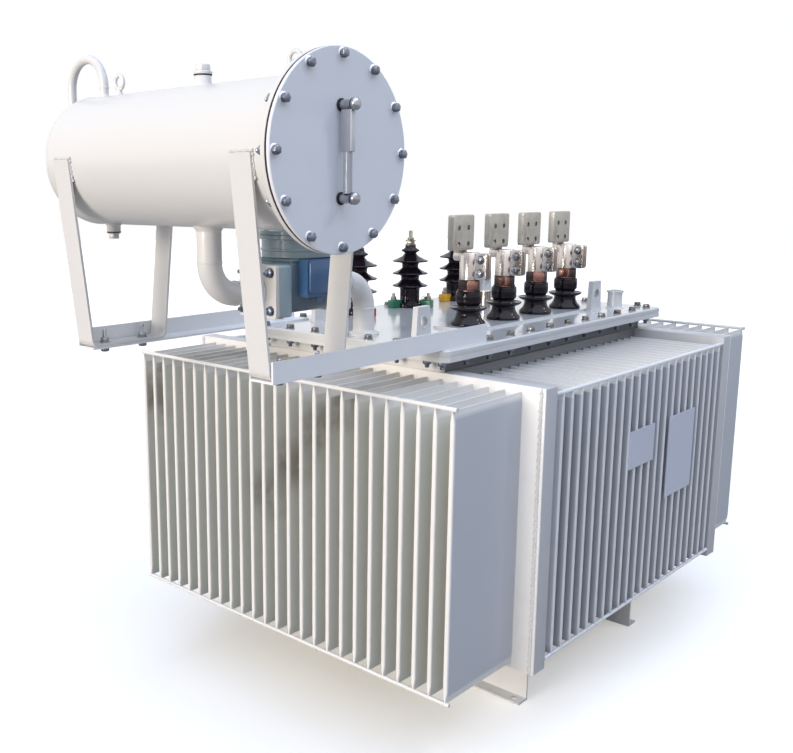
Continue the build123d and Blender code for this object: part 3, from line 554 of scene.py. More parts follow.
def pinched_fin(depth, low, high):
    """One fin, made at the origin and pointing along +X, 12 mm thick and 4 mm thick where it is pinched."""
    begin()
    bpy.ops.mesh.primitive_plane_add(size=1)
    fin = bpy.context.object
    fin.scale = ((depth + 1) * MM, fin_thick * MM, 1)
    fin.location = ((depth - 1) / 2 * MM, 0, low * MM)
    bpy.ops.object.transform_apply(location=True, rotation=True, scale=True)
    pick("VERT", lambda corner: corner.co.x > MM)
    bpy.ops.mesh.bevel(offset=4 * MM, segments=4, affect="VERTICES")
    bpy.ops.mesh.select_all(action="SELECT")
    bpy.ops.transform.resize(value=(1, pinched_share, 1), center_override=(0, 0, low * MM))
    swells = ((low + 4, 1), (low + 14, 2), (low + 28, 1.5))
    shrinks = ((high - 28, 1), (high - 14, 1 / 1.5), (high - 4, 1 / 2), (high, 1))
    here = low
    for level, widen in swells + shrinks:
        bpy.ops.mesh.extrude_region_move(TRANSFORM_OT_translate={"value": (0, 0, (level - here) * MM)})
        bpy.ops.transform.resize(value=(1, widen, 1), center_override=(0, 0, level * MM))
        here = level
    bpy.ops.mesh.select_all(action="SELECT")
    bpy.ops.mesh.normals_make_consistent(inside=False)
    bpy.ops.object.mode_set(mode="OBJECT")
    return finish("fin", 25)


def rows(count):
    """Places of so many fins, from the middle of the wall."""
    return [fin_pitch * (k - (count - 1) / 2) for k in range(count)]


end_fin = pinched_fin(275, 240, 920)
side_fin = pinched_fin(287, 252, 912)
for side, node, turn in ((-1, "fin_bank_left", 180), (1, "fin_bank_right", 0)):
    fins = repeat("end_fins", end_fin, [((side * end_wall_x, y, 0), UP, turn) for y in rows(25)])
    low, high = sorted((side * (end_wall_x - sheet_thick), side * end_wall_x))
    sheet = block("end_sheet", (low, -wing_out_y, wall_low), (high, wing_out_y, wall_high), 1.2)
    rods = [pipe("rod", [(side * 830, -550, z), (side * 830, 550, z)], rod_r, sides=12) for z in (237.5, 922.5)]
    keep(join(f"end_wall_{node[9:]}", [fins, sheet, *rods]), end_fin_paint, "tank_paint", node)
for side, node, turn in ((-1, "fin_bank_front", -90), (1, "fin_bank_rear", 90)):
    fins = repeat("side_fins", side_fin, [((x, side * side_wall_y, 0), UP, turn) for x in rows(22)])
    low, high = sorted((side * (side_wall_y - sheet_thick), side * side_wall_y))
    sheet = block("side_sheet", (-wing_in_x, low, wall_low), (wing_in_x, high, wall_high), 1.2)
    rods = [pipe("rod", [(-504, side * 600, z), (504, side * 600, z)], rod_r, sides=12) for z in (249.5, 914.5)]
    keep(join(f"side_wall_{node[9:]}", [fins, sheet, *rods]), side_fin_paint, "tank_paint", node)
for side, node in ((-1, "end_wings_left"), (1, "end_wings_right")):
    low, high = sorted((side * wing_in_x, side * wing_out_x))
    wings = [
        block("wing", (low, near, wall_low), (high, far, wall_high), 3, 3)
        for near, far in ((-wing_out_y, -wing_in_y), (wing_in_y, wing_out_y))
    ]
    keep(join(f"wings_{node[10:]}", wings), wing_shade_paint, "tank_paint", node)

# Conservator drum, its bolting ring, stubs and eyes
drum_x, drum_z, drum_r = -1066, 1455, 154
drum_top, drum_bottom = drum_z + drum_r, drum_z - drum_r
ring_r, bolt_circle = 197, 183.5
ring_front, ring_back, drum_end, knuckle = -416, -404, 404, 28
bend_y = drum_end - knuckle
filler_y, drain_y, breather_y = -21, 334, 351
profile = [(0, ring_front), (150, ring_front), (ring_r - 1, ring_front), (ring_r, ring_front + 1)]
profile += [(ring_r, ring_back - 1), (ring_r - 1, ring_back), (drum_r + 7, ring_back), (drum_r + 3, ring_back + 2)]
profile += [(drum_r + 0.5, ring_back + 7), (drum_r, ring_back + 12), (drum_r, bend_y)]
for k in range(1, 8):
    swing = radians(90 * k / 7)
    profile.append((drum_r - knuckle + knuckle * cos(swing), bend_y + knuckle * sin(swing)))
profile += [(60, drum_end), (0, drum_end)]
drum = turned("drum", profile, (drum_x, 0, drum_z), BACK, steps=96)
keep(drum, drum_paint, "tank_paint", "conservator_shell")
seam = ring("drum_seam", drum_r - 0.4, 1.2, (drum_x, bend_y, drum_z), BACK, 128)
keep(seam, drum_paint, "tank_paint")

stub = [(0, -6), (24, -6), (23, -1), (20.5, 2), (19, 5), (19, 20.5), (18, 22), (0, 22)]
filler_stub = turned("filler_stub", stub, (drum_x, filler_y, drum_top))
drain = [(0, -6), (23, -6), (22, -2), (19, 2), (17, 5), (17, 18.5), (16, 20), (0, 20)]
drain_stub = turned("drain_stub", drain, (drum_x, drain_y, drum_bottom), DOWN)
eye_parts = []
for eye_y in (-303, 288):
    eye_parts.append(ring("eye", 16, 4.8, (drum_x, eye_y, drum_top + 30), RIGHT, 40))
    neck = [(0, -4), (15, -4), (12, 0), (9, 3), (7, 7), (6, 12), (0, 14)]
    eye_parts.append(turned("eye_foot", neck, (drum_x, eye_y, drum_top), steps=24))
keep(join("drum_fittings", [filler_stub, drain_stub, *eye_parts]), drum_paint, "tank_paint")

cap_base = drum_top + 22
cap_foot = [(0, 1.5), (20.5, 1.5), (21, 2.5), (21, 6.5), (19.5, 8), (0, 8)]
cap_foot = turned("cap_foot", cap_foot, (drum_x, filler_y, cap_base))
cap_hex = prism("cap_hex", 6, 18.4, 14, (drum_x, filler_y, cap_base + 8), edge=1.8, turn=12)
keep(join("filler_cap_hexagon", [cap_foot, cap_hex]), drum_paint, "tank_paint", "filler_cap")
keep(ring("filler_seal", 18.6, 1.8, (drum_x, filler_y, cap_base)), black_rubber, "rubber")
plug_top = drum_bottom - 20
keep(ring("drain_seal", 16.2, 1.7, (drum_x, drain_y, plug_top)), black_rubber, "rubber")
plug_head = prism("plug_head", 6, 13.8, 12, (drum_x, drain_y, plug_top - 16), edge=1.2, turn=20)
rim = [(0, 0), (15, 0), (16, 1), (16, 3), (15, 4), (0, 4)]
plug_rim = turned("plug_rim", rim, (drum_x, drain_y, plug_top - 4))
keep(join("drain_plug_hexagon", [plug_head, plug_rim]), drum_paint, "tank_paint", "drain_plug")

# End plate with its bolts, heads in front and nuts behind the ring
plate_front, plate_back = -428, -420
profile = [(0, plate_front), (ring_r - 1.5, plate_front), (ring_r, plate_front + 1.5), (ring_r, plate_back - 1)]
profile += [(ring_r - 1, plate_back), (0, plate_back)]
end_plate = turned("end_plate", profile, (drum_x, 0, drum_z), BACK, steps=128)
keep(end_plate, plate_paint, "tank_paint", "conservator_end_plate")


def hex_bolt(name, across=19, head=9, washer=12, shank=0):
    """Hexagon head on a washer, made at the origin, with a threaded end above it when it is a nut."""
    thick, flat, thread_pitch, thread_depth = 2.2, across / 2 - 0.5, 3, 0.7
    washer_rim = [(0, 0), (washer - 0.4, 0), (washer, 0.4), (washer, thick - 0.4), (washer - 0.4, thick), (0, thick)]
    parts = [turned("washer", washer_rim, steps=24)]
    parts.append(prism("head", 6, across / sqrt(3), head, (0, 0, thick), edge=0.9))
    crown = [(0, 0), (flat, 0), (flat, 0.3), (flat - 1, 1), (0, 1)]
    parts.append(turned("crown", crown, (0, 0, head + 2), steps=24))
    if shank:
        radius = across * 0.31
        end = [(0, 0)]
        for k in range(int(shank / thread_pitch)):
            end += [(radius, thread_pitch * k), (radius - thread_depth, thread_pitch * (k + 0.5))]
        end += [(radius - 1, shank), (0, shank)]
        parts.append(turned("end", end, (0, 0, head + thick), steps=20))
    return join(name, parts)


bolt = hex_bolt("bolt")
nut = hex_bolt("nut", shank=9)
ring_places = []
for k in range(12):
    swing = radians(90 + 30 * k)
    ring_places.append((drum_x + bolt_circle * cos(swing), drum_z + bolt_circle * sin(swing), 17 * k))
places = [((x, plate_front, z), FRONT, turn) for x, z, turn in ring_places]
plate_bolt = hex_bolt("plate_bolt", 16.5, 8.5, 9)
keep(repeat("end_plate_bolts", plate_bolt, places), dark_zinc, "terminal")
# Real washers under the end plate's bolts, whose pale zinc is a painted highlight on their rims
highlight_washer = turned("highlight_washer", [(0, -1), (11.6, -1), (11.6, 0.9), (11, 1.4), (0, 1.4)], steps=32)
keep(repeat("end_plate_washers", highlight_washer, places), highlight_zinc, "terminal")
ring_nuts = repeat("end_ring_nuts", nut, [((x, ring_back, z), BACK, turn) for x, z, turn in ring_places])
keep(ring_nuts, zinc, "terminal")

# Level gauge: two bodies with round caps, and between them the guard and the lower tube, which hide the glass
gauge_x, gauge_reach = -1070, 88
gauge_body = [(0, 4), (9.5, 4), (9.5, 31), (0, 31)]
gauge_cap = [(0, 33.5), (11.4, 33.5), (12, 34.5), (12, 40), (10.5, 42.5), (7, 44.3), (0, 45)]
foot_seal = [(0, 0), (12, 0), (12.5, 1), (12.5, 3.4), (11.5, 4.4), (0, 4.4)]
cap_seal = [(0, 30.5), (11.2, 30.5), (11.8, 31.5), (11.8, 33), (11.2, 34), (0, 34)]
bodies, caps, seals = [], [], []
for gauge_z in (drum_z - gauge_reach, drum_z + gauge_reach):
    at = (gauge_x, plate_front, gauge_z)
    bodies.append(turned("gauge_body", gauge_body, at, FRONT, steps=32))
    caps.append(turned("gauge_cap", gauge_cap, at, FRONT, steps=32))
    seals.append(turned("gauge_seal", foot_seal, at, FRONT, steps=32))
    seals.append(turned("cap_seal", cap_seal, at, FRONT, steps=32))
keep(join("gauge_bodies", [*bodies, *caps]), zinc, "gauge", "level_gauge")
keep(join("gauge_seals", seals), black_rubber, "rubber")
guard_half, guard_front, guard_top = 6, plate_front - 31, drum_z + 79
guard_low, guard_high = (gauge_x - guard_half, guard_front, drum_z), (gauge_x + guard_half, plate_front - 6, guard_top)
guard = block("guard_upper", guard_low, guard_high, 0.6)
lower_tube = [(0, -79), (8.4, -79), (9, -78.4), (9, -0.6), (8.4, 0), (0, 0)]
lower_tube = turned("guard_lower", lower_tube, (gauge_x, plate_front - 19, drum_z), UP, steps=32)
keep(join("gauge_guard", [guard, lower_tube]), guard_paint, "gauge")
edge_low = (gauge_x - guard_half - 0.2, guard_front - 1, drum_z + 1)
edge_high = (gauge_x + guard_half + 0.2, guard_front + 1, guard_top - 1)
keep(block("guard_edge", edge_low, edge_high, 0.5), cover_paint, "gauge")

# Breather
breather_out_y, breather_low, breather_high = 491, 1443, 1703
corners = [(drum_x, breather_y, drum_top - 3), (drum_x, breather_y, breather_high)]
corners += [(drum_x, breather_out_y, breather_high), (drum_x, breather_out_y, breather_low)]
breather = pipe("breather", corners, 10.7, 69.9, steps=16)
breather_weld = ring("breather_weld", 10.6, 1.8, (drum_x, breather_y, 1631), UP, 40)
foot = [(0, -4), (17, -4), (15, 0), (12.5, 3), (10.8, 6), (0, 6)]
breather_foot = turned("breather_foot", foot, (drum_x, breather_y, drum_top), steps=32)
keep(join("breather_bend", [breather, breather_weld, breather_foot]), drum_paint, "tank_paint", "breather_pipe")

# Welds and bolts of the straps, which stand on beams that lie on the cover
cover_top, strap_y, strap_half, strap_foot_top = 1000, 309, 30, 1011
seam_high, seam_low = drum_z + 2, drum_z - 51
ripple = drop()
places = []
for side in (-1, 1):
    for y0, y1 in ((-strap_y - strap_half, -strap_y + strap_half), (strap_y - strap_half, strap_y + strap_half)):
        seam_x = drum_x + side * 157
        places += along((seam_x, y0, seam_high), (seam_x, y1, seam_high), 4, (side, 0, 0.7), 0.6)
        for y in (y0 - 1.5, y1 + 1.5):
            start, end = (drum_x + side * 156, y, seam_high), (drum_x + side * 149, y, seam_low)
            places += along(start, end, 4, (side, 0, 0), 0.6)
keep(repeat("strap_welds", ripple, places), weld_paint, "tank_paint")
long_nut = hex_bolt("long_nut", across=19, head=10, washer=13, shank=22)
strap_holes = [(drum_x + dx, y) for dx in (-58, 58) for y in (-strap_y, strap_y)]
places = [((x, y, strap_foot_top), UP, 10) for x, y in strap_holes]
keep(repeat("strap_nuts", long_nut, places), zinc, "terminal")
places = [((x, y, cover_top), DOWN, 25) for x, y in strap_holes]
keep(repeat("strap_bolts", bolt, places), dark_zinc, "terminal")

# Oil pipes with their flanges and studs. The relay fills the room between left_face and right_face
pipe_y, pipe_z, pipe_r, bend_r = -30, 1147, 28.5, 76
left_face, right_face, flange_thick, flange_half = -906, -662, 12, 63
down_x = -525


def flange(name, x0, x1, half, corner=6):
    """Square flange across the oil pipe."""
    return slab(name, (x0, pipe_y - half, pipe_z - half), (x1, pipe_y + half, pipe_z + half), corner, 0)


def pipe_bead(at, axis, r=pipe_r - 0.1, thick=1.8):
    """Weld bead round the oil pipe."""
    return ring("bead", r, thick, at, axis, 48)


left_weld, right_weld = left_face - flange_thick, right_face + flange_thick
corners = [(drum_x, pipe_y, drum_bottom + 4), (drum_x, pipe_y, pipe_z), (left_weld, pipe_y, pipe_z)]
upper = pipe("upper_run", corners, pipe_r, bend_r)
saddle = [(0, -6), (38, -6), (35, -1), (31, 4), (28.6, 8), (0, 8)]
beads = [
    pipe_bead((drum_x, pipe_y, pipe_z + bend_r), UP),
    pipe_bead((drum_x + bend_r, pipe_y, pipe_z), RIGHT),
    pipe_bead((left_weld - 1, pipe_y, pipe_z), RIGHT, 28.6, 3.4),
    turned("collar", saddle, (drum_x, pipe_y, drum_bottom), DOWN, 40),
]
upper_flange = flange("upper_flange", left_weld, left_face, flange_half)
keep(join("oil_pipe_from_drum", [upper, *beads, upper_flange]), drum_paint, "tank_paint", "oil_pipe_upper")
corners = [(down_x, pipe_y, cover_top), (down_x, pipe_y, pipe_z), (right_weld, pipe_y, pipe_z)]
lower = pipe("lower_run", corners, pipe_r, bend_r)
foot = [(0, 0), (42, 0), (42, 4), (40, 6), (33, 7), (30, 10), (28.6, 14), (0, 14)]
beads = [
    pipe_bead((down_x, pipe_y, pipe_z - bend_r), UP),
    pipe_bead((down_x - bend_r, pipe_y, pipe_z), RIGHT),
    pipe_bead((right_weld + 1, pipe_y, pipe_z), RIGHT, 28.6, 3.4),
    turned("foot", foot, (down_x, pipe_y, cover_top), UP, 48),
]
lower_flange = flange("lower_flange", right_face, right_weld, flange_half)
keep(join("oil_pipe_to_cover", [lower, *beads, lower_flange]), drum_paint, "tank_paint", "oil_pipe_lower")
studs = []
for dy in (-45, 45):
    for dz in (-45, 45):
        studs.append(((left_weld, pipe_y + dy, pipe_z + dz), LEFT, 8))
        studs.append(((right_weld, pipe_y + dy, pipe_z + dz), RIGHT, 20))
stud = hex_bolt("stud", across=18, head=8, washer=12, shank=9)
keep(repeat("flange_studs", stud, studs), dark_zinc, "terminal")

# Gas relay: thick flanges stepped down to a square chest, a round neck and a bolted head ring
relay_x, chest_top, neck_tall = -784, 1222, 44
chest_half, chest_long, rim_proud = 61, 80, 2
chest_left, chest_right, chest_front = relay_x - chest_long, relay_x + chest_long, pipe_y - chest_half
chest = slab("relay_chest", (chest_left, chest_front, 1093), (chest_right, pipe_y + chest_half, chest_top), 14, 0)
ends = [
    flange("relay_left", left_face, left_face + 41, flange_half, 8),
    flange("relay_left_step", left_face + 40, left_face + 59, 54, 12),
    flange("relay_right", right_face - 41, right_face, flange_half, 8),
    flange("relay_right_step", right_face - 59, right_face - 40, 54, 12),
]
keep(join("relay_ends", ends), relay_end_paint, "relay")
rim_low = (chest_left - rim_proud, chest_front - rim_proud, chest_top - 9)
rim_high = (chest_right + rim_proud, pipe_y + chest_half + rim_proud, chest_top)
chest_rim = block("chest_rim", rim_low, rim_high, 2.5)
keep(join("relay_casting", [chest, chest_rim]), relay_dark, "relay", "relay_body")
neck = [(0, 0), (84, 0), (86, 2), (86, 16), (88, 18), (88, 22), (86, 24), (86, neck_tall), (0, neck_tall)]
keep(turned("relay_neck", neck, (relay_x, pipe_y, chest_top), UP, 64), relay_paint, "relay")
head = [(0, 0), (90, 0), (92, 2), (92, 10), (90.5, 11), (92, 12), (92, 20), (90, 22)]
head += [(60, 22), (58, 24), (57, 28), (0, 28)]
keep(turned("relay_head_ring", head, (relay_x, pipe_y, chest_top + neck_tall), UP, 64), relay_paint, "relay")
places = []
for k in range(8):
    swing = radians(22.5 + 45 * k)
    for radius, z, axis in ((78, 1288, UP), (81, chest_top + neck_tall, DOWN)):
        places.append(((relay_x + radius * cos(swing), pipe_y + radius * sin(swing), z), axis, 10 * k))
small_bolt = hex_bolt("small_bolt", 10, 4, 6.5)
keep(repeat("relay_head_bolts", small_bolt, places), zinc, "terminal")


def relay_box():
    """Terminal box of the relay: its lower corners are cut off, and its lid stands out in front."""
    box_low = (relay_x - 56, chest_front - 30, 1131)
    box = block("relay_box", box_low, (relay_x + 56, chest_front, chest_top - 1), 0.01, 1)
    pick("EDGE", lambda line: runs(line, 1) and all(end.co.z < 1140 * MM for end in line.verts))
    bpy.ops.mesh.bevel(offset=16 * MM, segments=1)
    leave()
    round_edges(2)
    finish("relay_box")
    lid_low, lid_high = (relay_x - 52, chest_front - 36, 1140), (relay_x + 52, chest_front - 29, 1218)
    lid = slab("relay_lid", lid_low, lid_high, 8, 1, 1.5)
    gland = [(0, 0), (9, 0), (9, 9), (6, 10), (6, 14), (0, 14)]
    gland = turned("relay_gland", gland, (relay_x, chest_front - 16, 1132), DOWN, 24)
    return join("relay_box", [box, lid, gland])


keep(relay_box(), blue_paint, "relay_box", "relay_terminal_box")

# Lifting lugs, narrower at the top, with a shackle hole
lug_places = ((-545, -238), (370, -238), (-407, 238), (470, 238))
lug_half, lug_thin, lug_top, eye_z, eye_r = 33, 8, 1094, 1055, 15
lugs = []
for lug_x, lug_y in lug_places:
    low, high = (lug_x - lug_half, lug_y - lug_thin, cover_top), (lug_x + lug_half, lug_y + lug_thin, lug_top)
    lug = block("lug", low, high, 0.01, 1)
    pick("VERT", lambda corner: corner.co.z > eye_z * MM)
    bpy.ops.transform.resize(value=(0.76, 1, 1), center_override=(lug_x * MM, lug_y * MM, lug_top * MM))
    leave()
    round_edges(2.5, 3)
    eye = prism("eye_cut", 32, eye_r, 40, (lug_x, lug_y - 20, eye_z), BACK, 0.01)
    cut(lug, eye)
    lugs.append(lug)
    lugs += [ring("eye_rim", eye_r + 0.5, 1.4, (lug_x, lug_y + dy, eye_z), BACK, 40) for dy in (-lug_thin, lug_thin)]
keep(join("lugs", lugs), cover_paint, "tank_paint", "lifting_lugs")
places = []
for lug_x, lug_y in lug_places:
    for y in (lug_y - lug_thin - 1, lug_y + lug_thin + 1):
        start, end = (lug_x - lug_half, y, cover_top + 1), (lug_x + lug_half, y, cover_top + 1)
        places += along(start, end, 4.5, UP, 0.5)
keep(repeat("lug_welds", ripple, places), cover_paint, "tank_paint")

# Low-voltage bushings: flared skirt, one upturned shed, a collar, the nut and the split clamp with its flag
lv_x, lv_y = [-222 + 182 * n for n in range(4)], -160
lv_nut_low, hole_z, ear_half = 1103, 1255, 13
skirt = [
    (0, 1006), (46, 1006), (48.5, 1007.5), (49, 1010), (48.5, 1013), (46.5, 1016), (41, 1022), (37, 1028), (34.5, 1035),
    (33.5, 1041), (35.5, 1045), (42, 1048), (48, 1051), (51.5, 1054.5), (52, 1057), (50.5, 1058), (47, 1056.5),
    (40, 1053.5), (34, 1054.5), (31.5, 1057.5), (30.5, 1061), (30.5, 1064), (32, 1066.5), (35, 1069), (36, 1072.5),
    (36.3, 1086), (36, 1098), (34.5, 1101.5), (31, lv_nut_low), (0, lv_nut_low),
]
lv_washer = [(0, 0), (31, 0), (32, 1), (32, 3), (31, 4), (0, 4)]
lv_stem = [(0, 0), (17.6, 0), (17.6, 70), (16.5, 71), (0, 71)]
lv_barrel = [(18, 1134), (27, 1134), (28, 1135), (28, 1208.5), (27, 1210), (19, 1210), (18, 1209), (18, 1134)]
lv_nut_turns = (-2, 6, 44, 10)
lv_parts = []
for n, x in enumerate(lv_x):
    bushing = turned(f"lv_bushing_{n + 1}", skirt, (x, lv_y, 0), UP, 64)
    keep(bushing, porcelain, "porcelain", f"lv_porcelain_{n + 1}")
    lv_parts.append(turned("lv_washer", lv_washer, (x, lv_y, lv_nut_low), UP, 48))
    lv_parts.append(prism("lv_nut", 6, 33, 27, (x, lv_y, lv_nut_low + 4), UP, 1.6, lv_nut_turns[n]))
    lv_parts.append(turned("lv_stem", lv_stem, (x, lv_y, lv_nut_low + 30), UP, 40))
    barrel = turned("barrel", lv_barrel, (x, lv_y, 0), UP, 48)
    slit = block("slit", (x - 2, lv_y - 70, 1130), (x + 2, lv_y - 17, 1215), 0.2)
    cut(barrel, slit)
    ears = []
    for x0, x1 in ((x - ear_half, x - 2), (x + 2, x + ear_half)):
        ears.append(slab("ear", (x0, lv_y - 62, 1136), (x1, lv_y - 20, 1209), 7, 0, 1.5))
    web = slab("web", (x - 23, lv_y - 16, 1187), (x + 23, lv_y + 42, 1210), 9, 0, 1.5)
    tab = slab("tab", (x - 22, lv_y + 25, 1200), (x + 22, lv_y + 41.4, 1232), 2, 2, 1)
    plate = slab("flag", (x - 50, lv_y + 22, 1215), (x + 50, lv_y + 42, 1313), 7, 1, 1.2)
    for dx in (-22.5, 22.5):
        for dz in (-22.5, 22.5):
            cut(plate, prism("hole", 24, 7, 40, (x + dx, lv_y + 10, hole_z + dz), BACK, 0.01))
    terminal = join(f"lv_clamp_{n + 1}", [barrel, *ears, web, tab])
    keep(terminal, nickel, "terminal", f"lv_terminal_{n + 1}")
    plate.name = plate.data.name = f"lv_flag_{n + 1}"
    keep(plate, flag_plate, "terminal")
keep(join("lv_stem_nuts", lv_parts), copper, "copper", "lv_nuts")
places = []
for n, x in enumerate(lv_x):
    for z in (1154, 1191):
        places.append(((x - ear_half, lv_y - 44, z), LEFT, 15 + 12 * n))
        places.append(((x + ear_half, lv_y - 44, z), RIGHT, 40))
clamp_bolt = hex_bolt("clamp_bolt", 16.5, 9, 9)
keep(repeat("lv_clamp_bolts", clamp_bolt, places), zinc, "terminal")
dark_washer = turned("dark_washer", [(0, -1), (12.2, -1), (12.2, 1), (11.8, 1.4), (0, 1.4)], steps=32)
keep(repeat("lv_clamp_washers", dark_washer, places), aged_steel, "terminal")

# High-voltage bushings: foot, three sheds, a cap and a threaded stud
hv_x, hv_y, hv_top, stud_tall = [-214 + 262 * n for n in range(3)], 255, 203, 48
stack = [(0, 0), (44, 0), (46, 1.5), (46, 11), (44.5, 13.5), (41, 14), (34, 15), (32, 19), (32, 58)]
for k in range(3):
    tip, body = 73 + 40.5 * k, 32 - 3 * k
    stack += [(body + 1, tip - 12), (body + 5, tip - 8), (50, tip - 5), (56, tip - 4.5), (58, tip - 2.5), (57, tip)]
    stack += [(48, tip + 3), (38, tip + 8), (body + 1, tip + 13), (body - 3, tip + 18)]
stack += [(19, 176), (20, 179), (25, 182), (29, 184), (29.5, 186.5), (28, 189), (22, 192), (18, 196)]
stack += [(17, hv_top), (0, hv_top)]
stack = [(r, cover_top + h) for r, h in stack]
seat_z = cover_top + hv_top
thread = [(0, 0)]
for k in range(24):
    thread += [(6, 2 * k), (5.4, 2 * k + 1)]
thread += [(5, stud_tall - 0.5), (0, stud_tall)]
hv_metal = []
for n, x in enumerate(hv_x):
    bushing = turned(f"hv_bushing_{n + 1}", stack, (x, hv_y, 0), UP, 72)
    keep(bushing, porcelain, "porcelain", f"hv_porcelain_{n + 1}")
    hv_metal.append(turned("hv_seat", [(0, 0), (17, 0), (18, 1), (18, 3), (0, 3)], (x, hv_y, seat_z), UP, 40))
    hv_metal.append(prism("hv_nut", 6, 15, 11, (x, hv_y, seat_z + 3), UP, 1.2, 10 * n))
    hv_metal.append(turned("hv_washer", [(0, 0), (18, 0), (18, 2.2), (0, 2.2)], (x, hv_y, seat_z + 14), UP, 32))
    hv_metal.append(prism("hv_lock_nut", 6, 11, 9, (x, hv_y, seat_z + 16), UP, 1, 30 + 10 * n))
    hv_metal.append(turned("hv_stud", thread, (x, hv_y, seat_z), UP, 20))
keep(join("hv_stud_nuts", hv_metal), bronze, "terminal", "hv_studs")

clamp_r = 66


def clamp():
    """One hooked clamp, made at the origin: it reaches from radius 38 to 80 and hooks over the bushing's foot."""
    jaw = block("jaw", (46.3, -13, 0), (80, 13, 26), 2.5, 3)
    lip = block("lip", (38.3, -11, 14.4), (60, 11, 26), 3, 3)
    boss = turned("boss", [(0, 0), (11, 0), (10, 4), (0, 4)], (clamp_r, 0, 24), UP, 24)
    return join("clamp", [jaw, lip, boss])


hook = clamp()
clamp_nut = hex_bolt("clamp_nut", 16, 8, 9.5, 12)
clamps = (("red_clamp", red_enamel, 15), ("green_clamp", green_enamel, 45), ("yellow_clamp", yellow_enamel, 60))
places = []
for n, (slot, look, start) in enumerate(clamps):
    x = hv_x[n]
    turns = [start + 120 * k for k in range(3)]
    jaws = repeat(f"hv_jaws_{n + 1}", hook, [((x, hv_y, cover_top), UP, turn) for turn in turns])
    keep(jaws, look, slot, f"hv_clamps_{n + 1}")
    for turn in turns:
        swing = radians(turn)
        places.append(((x + clamp_r * cos(swing), hv_y + clamp_r * sin(swing), cover_top + 27), UP, turn))
keep(repeat("hv_clamp_nuts", clamp_nut, places), bronze, "terminal")

# Cover bolts, the first of them on the beams, with their nuts below the flange, and dabs of red paint on some
bolt_x = [-586 + 102.8 * k for k in range(12)]
bolt_y = [-286 + 95.3 * k for k in range(7)]
row_x, row_y, flange_under, beam_end, beam_thick = 583, 334, 969, -412, 5
tops, unders, dabs = [], [], []
for k, x in enumerate(bolt_x):
    for y in (-row_y, row_y):
        seat = cover_top + beam_thick if x < beam_end else cover_top
        tops.append(((x, y, seat), UP, 17 * k))
        unders.append(((x, y, flange_under), DOWN, 23 * k))
        if k > 8:
            dabs.append(((x - 3, y - 4, seat + 12), UP, 50 * k))
for k, y in enumerate(bolt_y):
    for x in (-row_x, row_x):
        tops.append(((x, y, cover_top), UP, 31 * k))
        unders.append(((x, y, flange_under), DOWN, 11 * k))
        if k in (4, 6):
            dabs.append(((x - 3, y - 4, cover_top + 12), UP, 35 * k))
keep(repeat("cover_bolts", bolt, tops), aged_steel, "terminal")
keep(repeat("cover_nuts", nut, unders), dark_zinc, "terminal")
dab = drop(11, 8, 1.4)
keep(repeat("bolt_marks", dab, dabs), red_enamel, "red_clamp")

# Filling stub and thermometer pocket
tube = [(0, 0), (29, 0), (27, 2), (24, 5), (23, 9), (23, 51), (26, 52), (27, 53), (27, 57), (26, 58)]
tube += [(20, 58), (20, 50), (0, 50)]
keep(turned("filling_tube", tube, (470, -260, cover_top)), cover_paint, "tank_paint", "filling_stub")
tube = [(0, 0), (18, 0), (18, 49), (20, 51), (20, 54), (19, 55), (0, 55)]
keep(turned("thermometer_well", tube, (206, 64, cover_top)), nickel, "terminal", "thermometer_pocket")

# Weld beads down the wings
places = []
for side in (-1, 1):
    for y in (-594, 594):
        places += along((side * 561, y, wall_low + 5), (side * 561, y, wall_high - 5), 4, (side, 0, 0), 0.5)
low_drop = drop(8, 7, 2.4)
keep(repeat("wing_welds", low_drop, places), weld_paint, "tank_paint")

# The pieces that were copied aren't needed any more
for master in (
    bolt, plate_bolt, highlight_washer, nut, long_nut, stud, small_bolt, clamp_bolt, dark_washer, clamp_nut, ripple,
    low_drop, dab, hook, end_fin, side_fin,
):
    bpy.data.objects.remove(master)

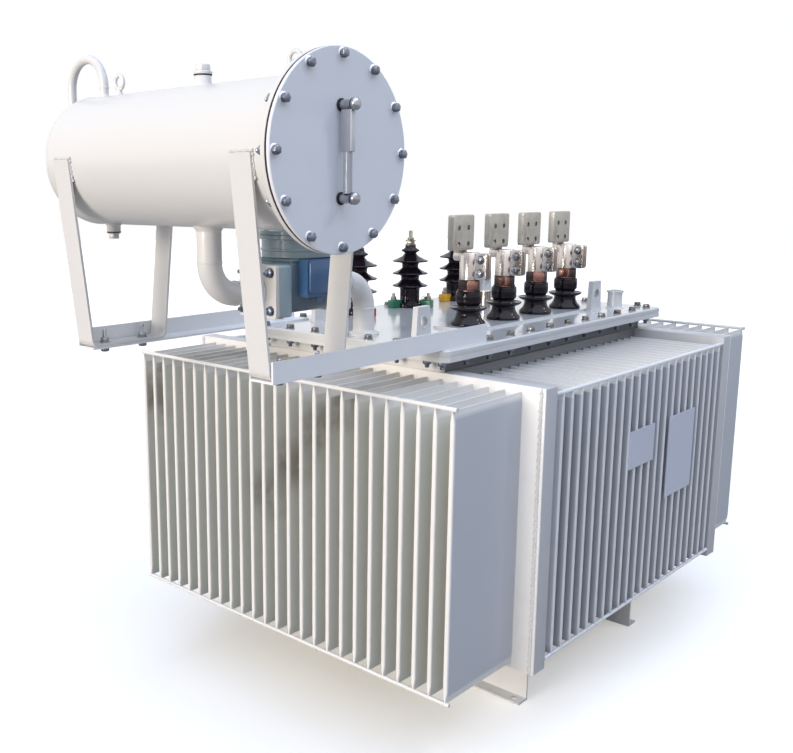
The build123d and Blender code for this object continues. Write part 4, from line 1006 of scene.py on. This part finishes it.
# Floor, light and camera. The camera sees white round the object, and the light comes from colours of its own
white = (1.0, 1.0, 1.0)
begin()
bpy.ops.mesh.primitive_plane_add(size=40)
floor = bpy.context.object
floor.name = "floor"
ground, net, shader, place = finish_nodes("floor_paint", (0.5, 0.5, 0.5), 0.9)
path = net.nodes.new("ShaderNodeLightPath")
shade = blend(net, noise(net, place, 2, 3), (0.37, 0.345, 0.31), (0.4, 0.37, 0.335))
net.links.new(blend(net, path.outputs["Is Camera Ray"], shade, white), shader.inputs["Base Color"])
shader.inputs["Emission Color"].default_value = (1, 0.9, 0.7, 1)
lift = spread(net, path.outputs["Is Camera Ray"], 0, 1, 0, 0.3)
net.links.new(lift, shader.inputs["Emission Strength"])
floor.data.materials.append(ground)

world = bpy.data.worlds.new("studio")
bpy.context.scene.world = world
world.use_nodes = True
net = world.node_tree
path = net.nodes.new("ShaderNodeLightPath")
seen = path.outputs["Is Camera Ray"]
for ray in ("Is Glossy Ray", "Is Transmission Ray"):
    seen = both(net, seen, path.outputs[ray], "MAXIMUM")
sky = net.nodes["Background"]
net.links.new(blend(net, seen, (0.15, 0.19, 0.28), white), sky.inputs["Color"])
sky.inputs["Strength"].default_value = 1.0


def lamp(name, power, colour, spread_angle, shines):
    """Lamp far away, shining one way."""
    light = bpy.data.lights.new(name, "SUN")
    light.energy = power
    light.color = colour
    light.angle = radians(spread_angle)
    holder = bpy.data.objects.new(name, light)
    bpy.context.collection.objects.link(holder)
    holder.rotation_mode = "QUATERNION"
    holder.rotation_quaternion = Vector(shines).to_track_quat("-Z", "Y")


lamp("window_light", 2.9, (1.0, 0.925, 0.84), 30, (0.975, -0.12, -0.16))
lamp("roof_light", 2.4, (0.68, 0.79, 1.0), 90, (0.1, 0.36, -0.93))
lamp("bare_tube", 0.3, (1.0, 0.98, 0.95), 4, (-0.55, 0.56, -0.63))

camera = bpy.data.cameras.new("camera")
camera.sensor_width = 36
camera.lens = 43.516
camera.shift_x = 0.1241
camera.shift_y = -0.0040
camera_object = bpy.data.objects.new("camera", camera)
bpy.context.collection.objects.link(camera_object)
camera_object.location = (-2.48937, -1.68817, 1.38529)
azimuth, elevation, roll = radians(-45.88), radians(10.88), radians(-0.20)
away = Vector((sin(azimuth) * cos(elevation), -cos(azimuth) * cos(elevation), sin(elevation)))
camera_object.rotation_mode = "QUATERNION"
camera_object.rotation_quaternion = (-away).to_track_quat("-Z", "Y") @ Quaternion(UP, roll)
bpy.context.scene.camera = camera_object
bpy.context.scene.view_settings.view_transform = "Standard"
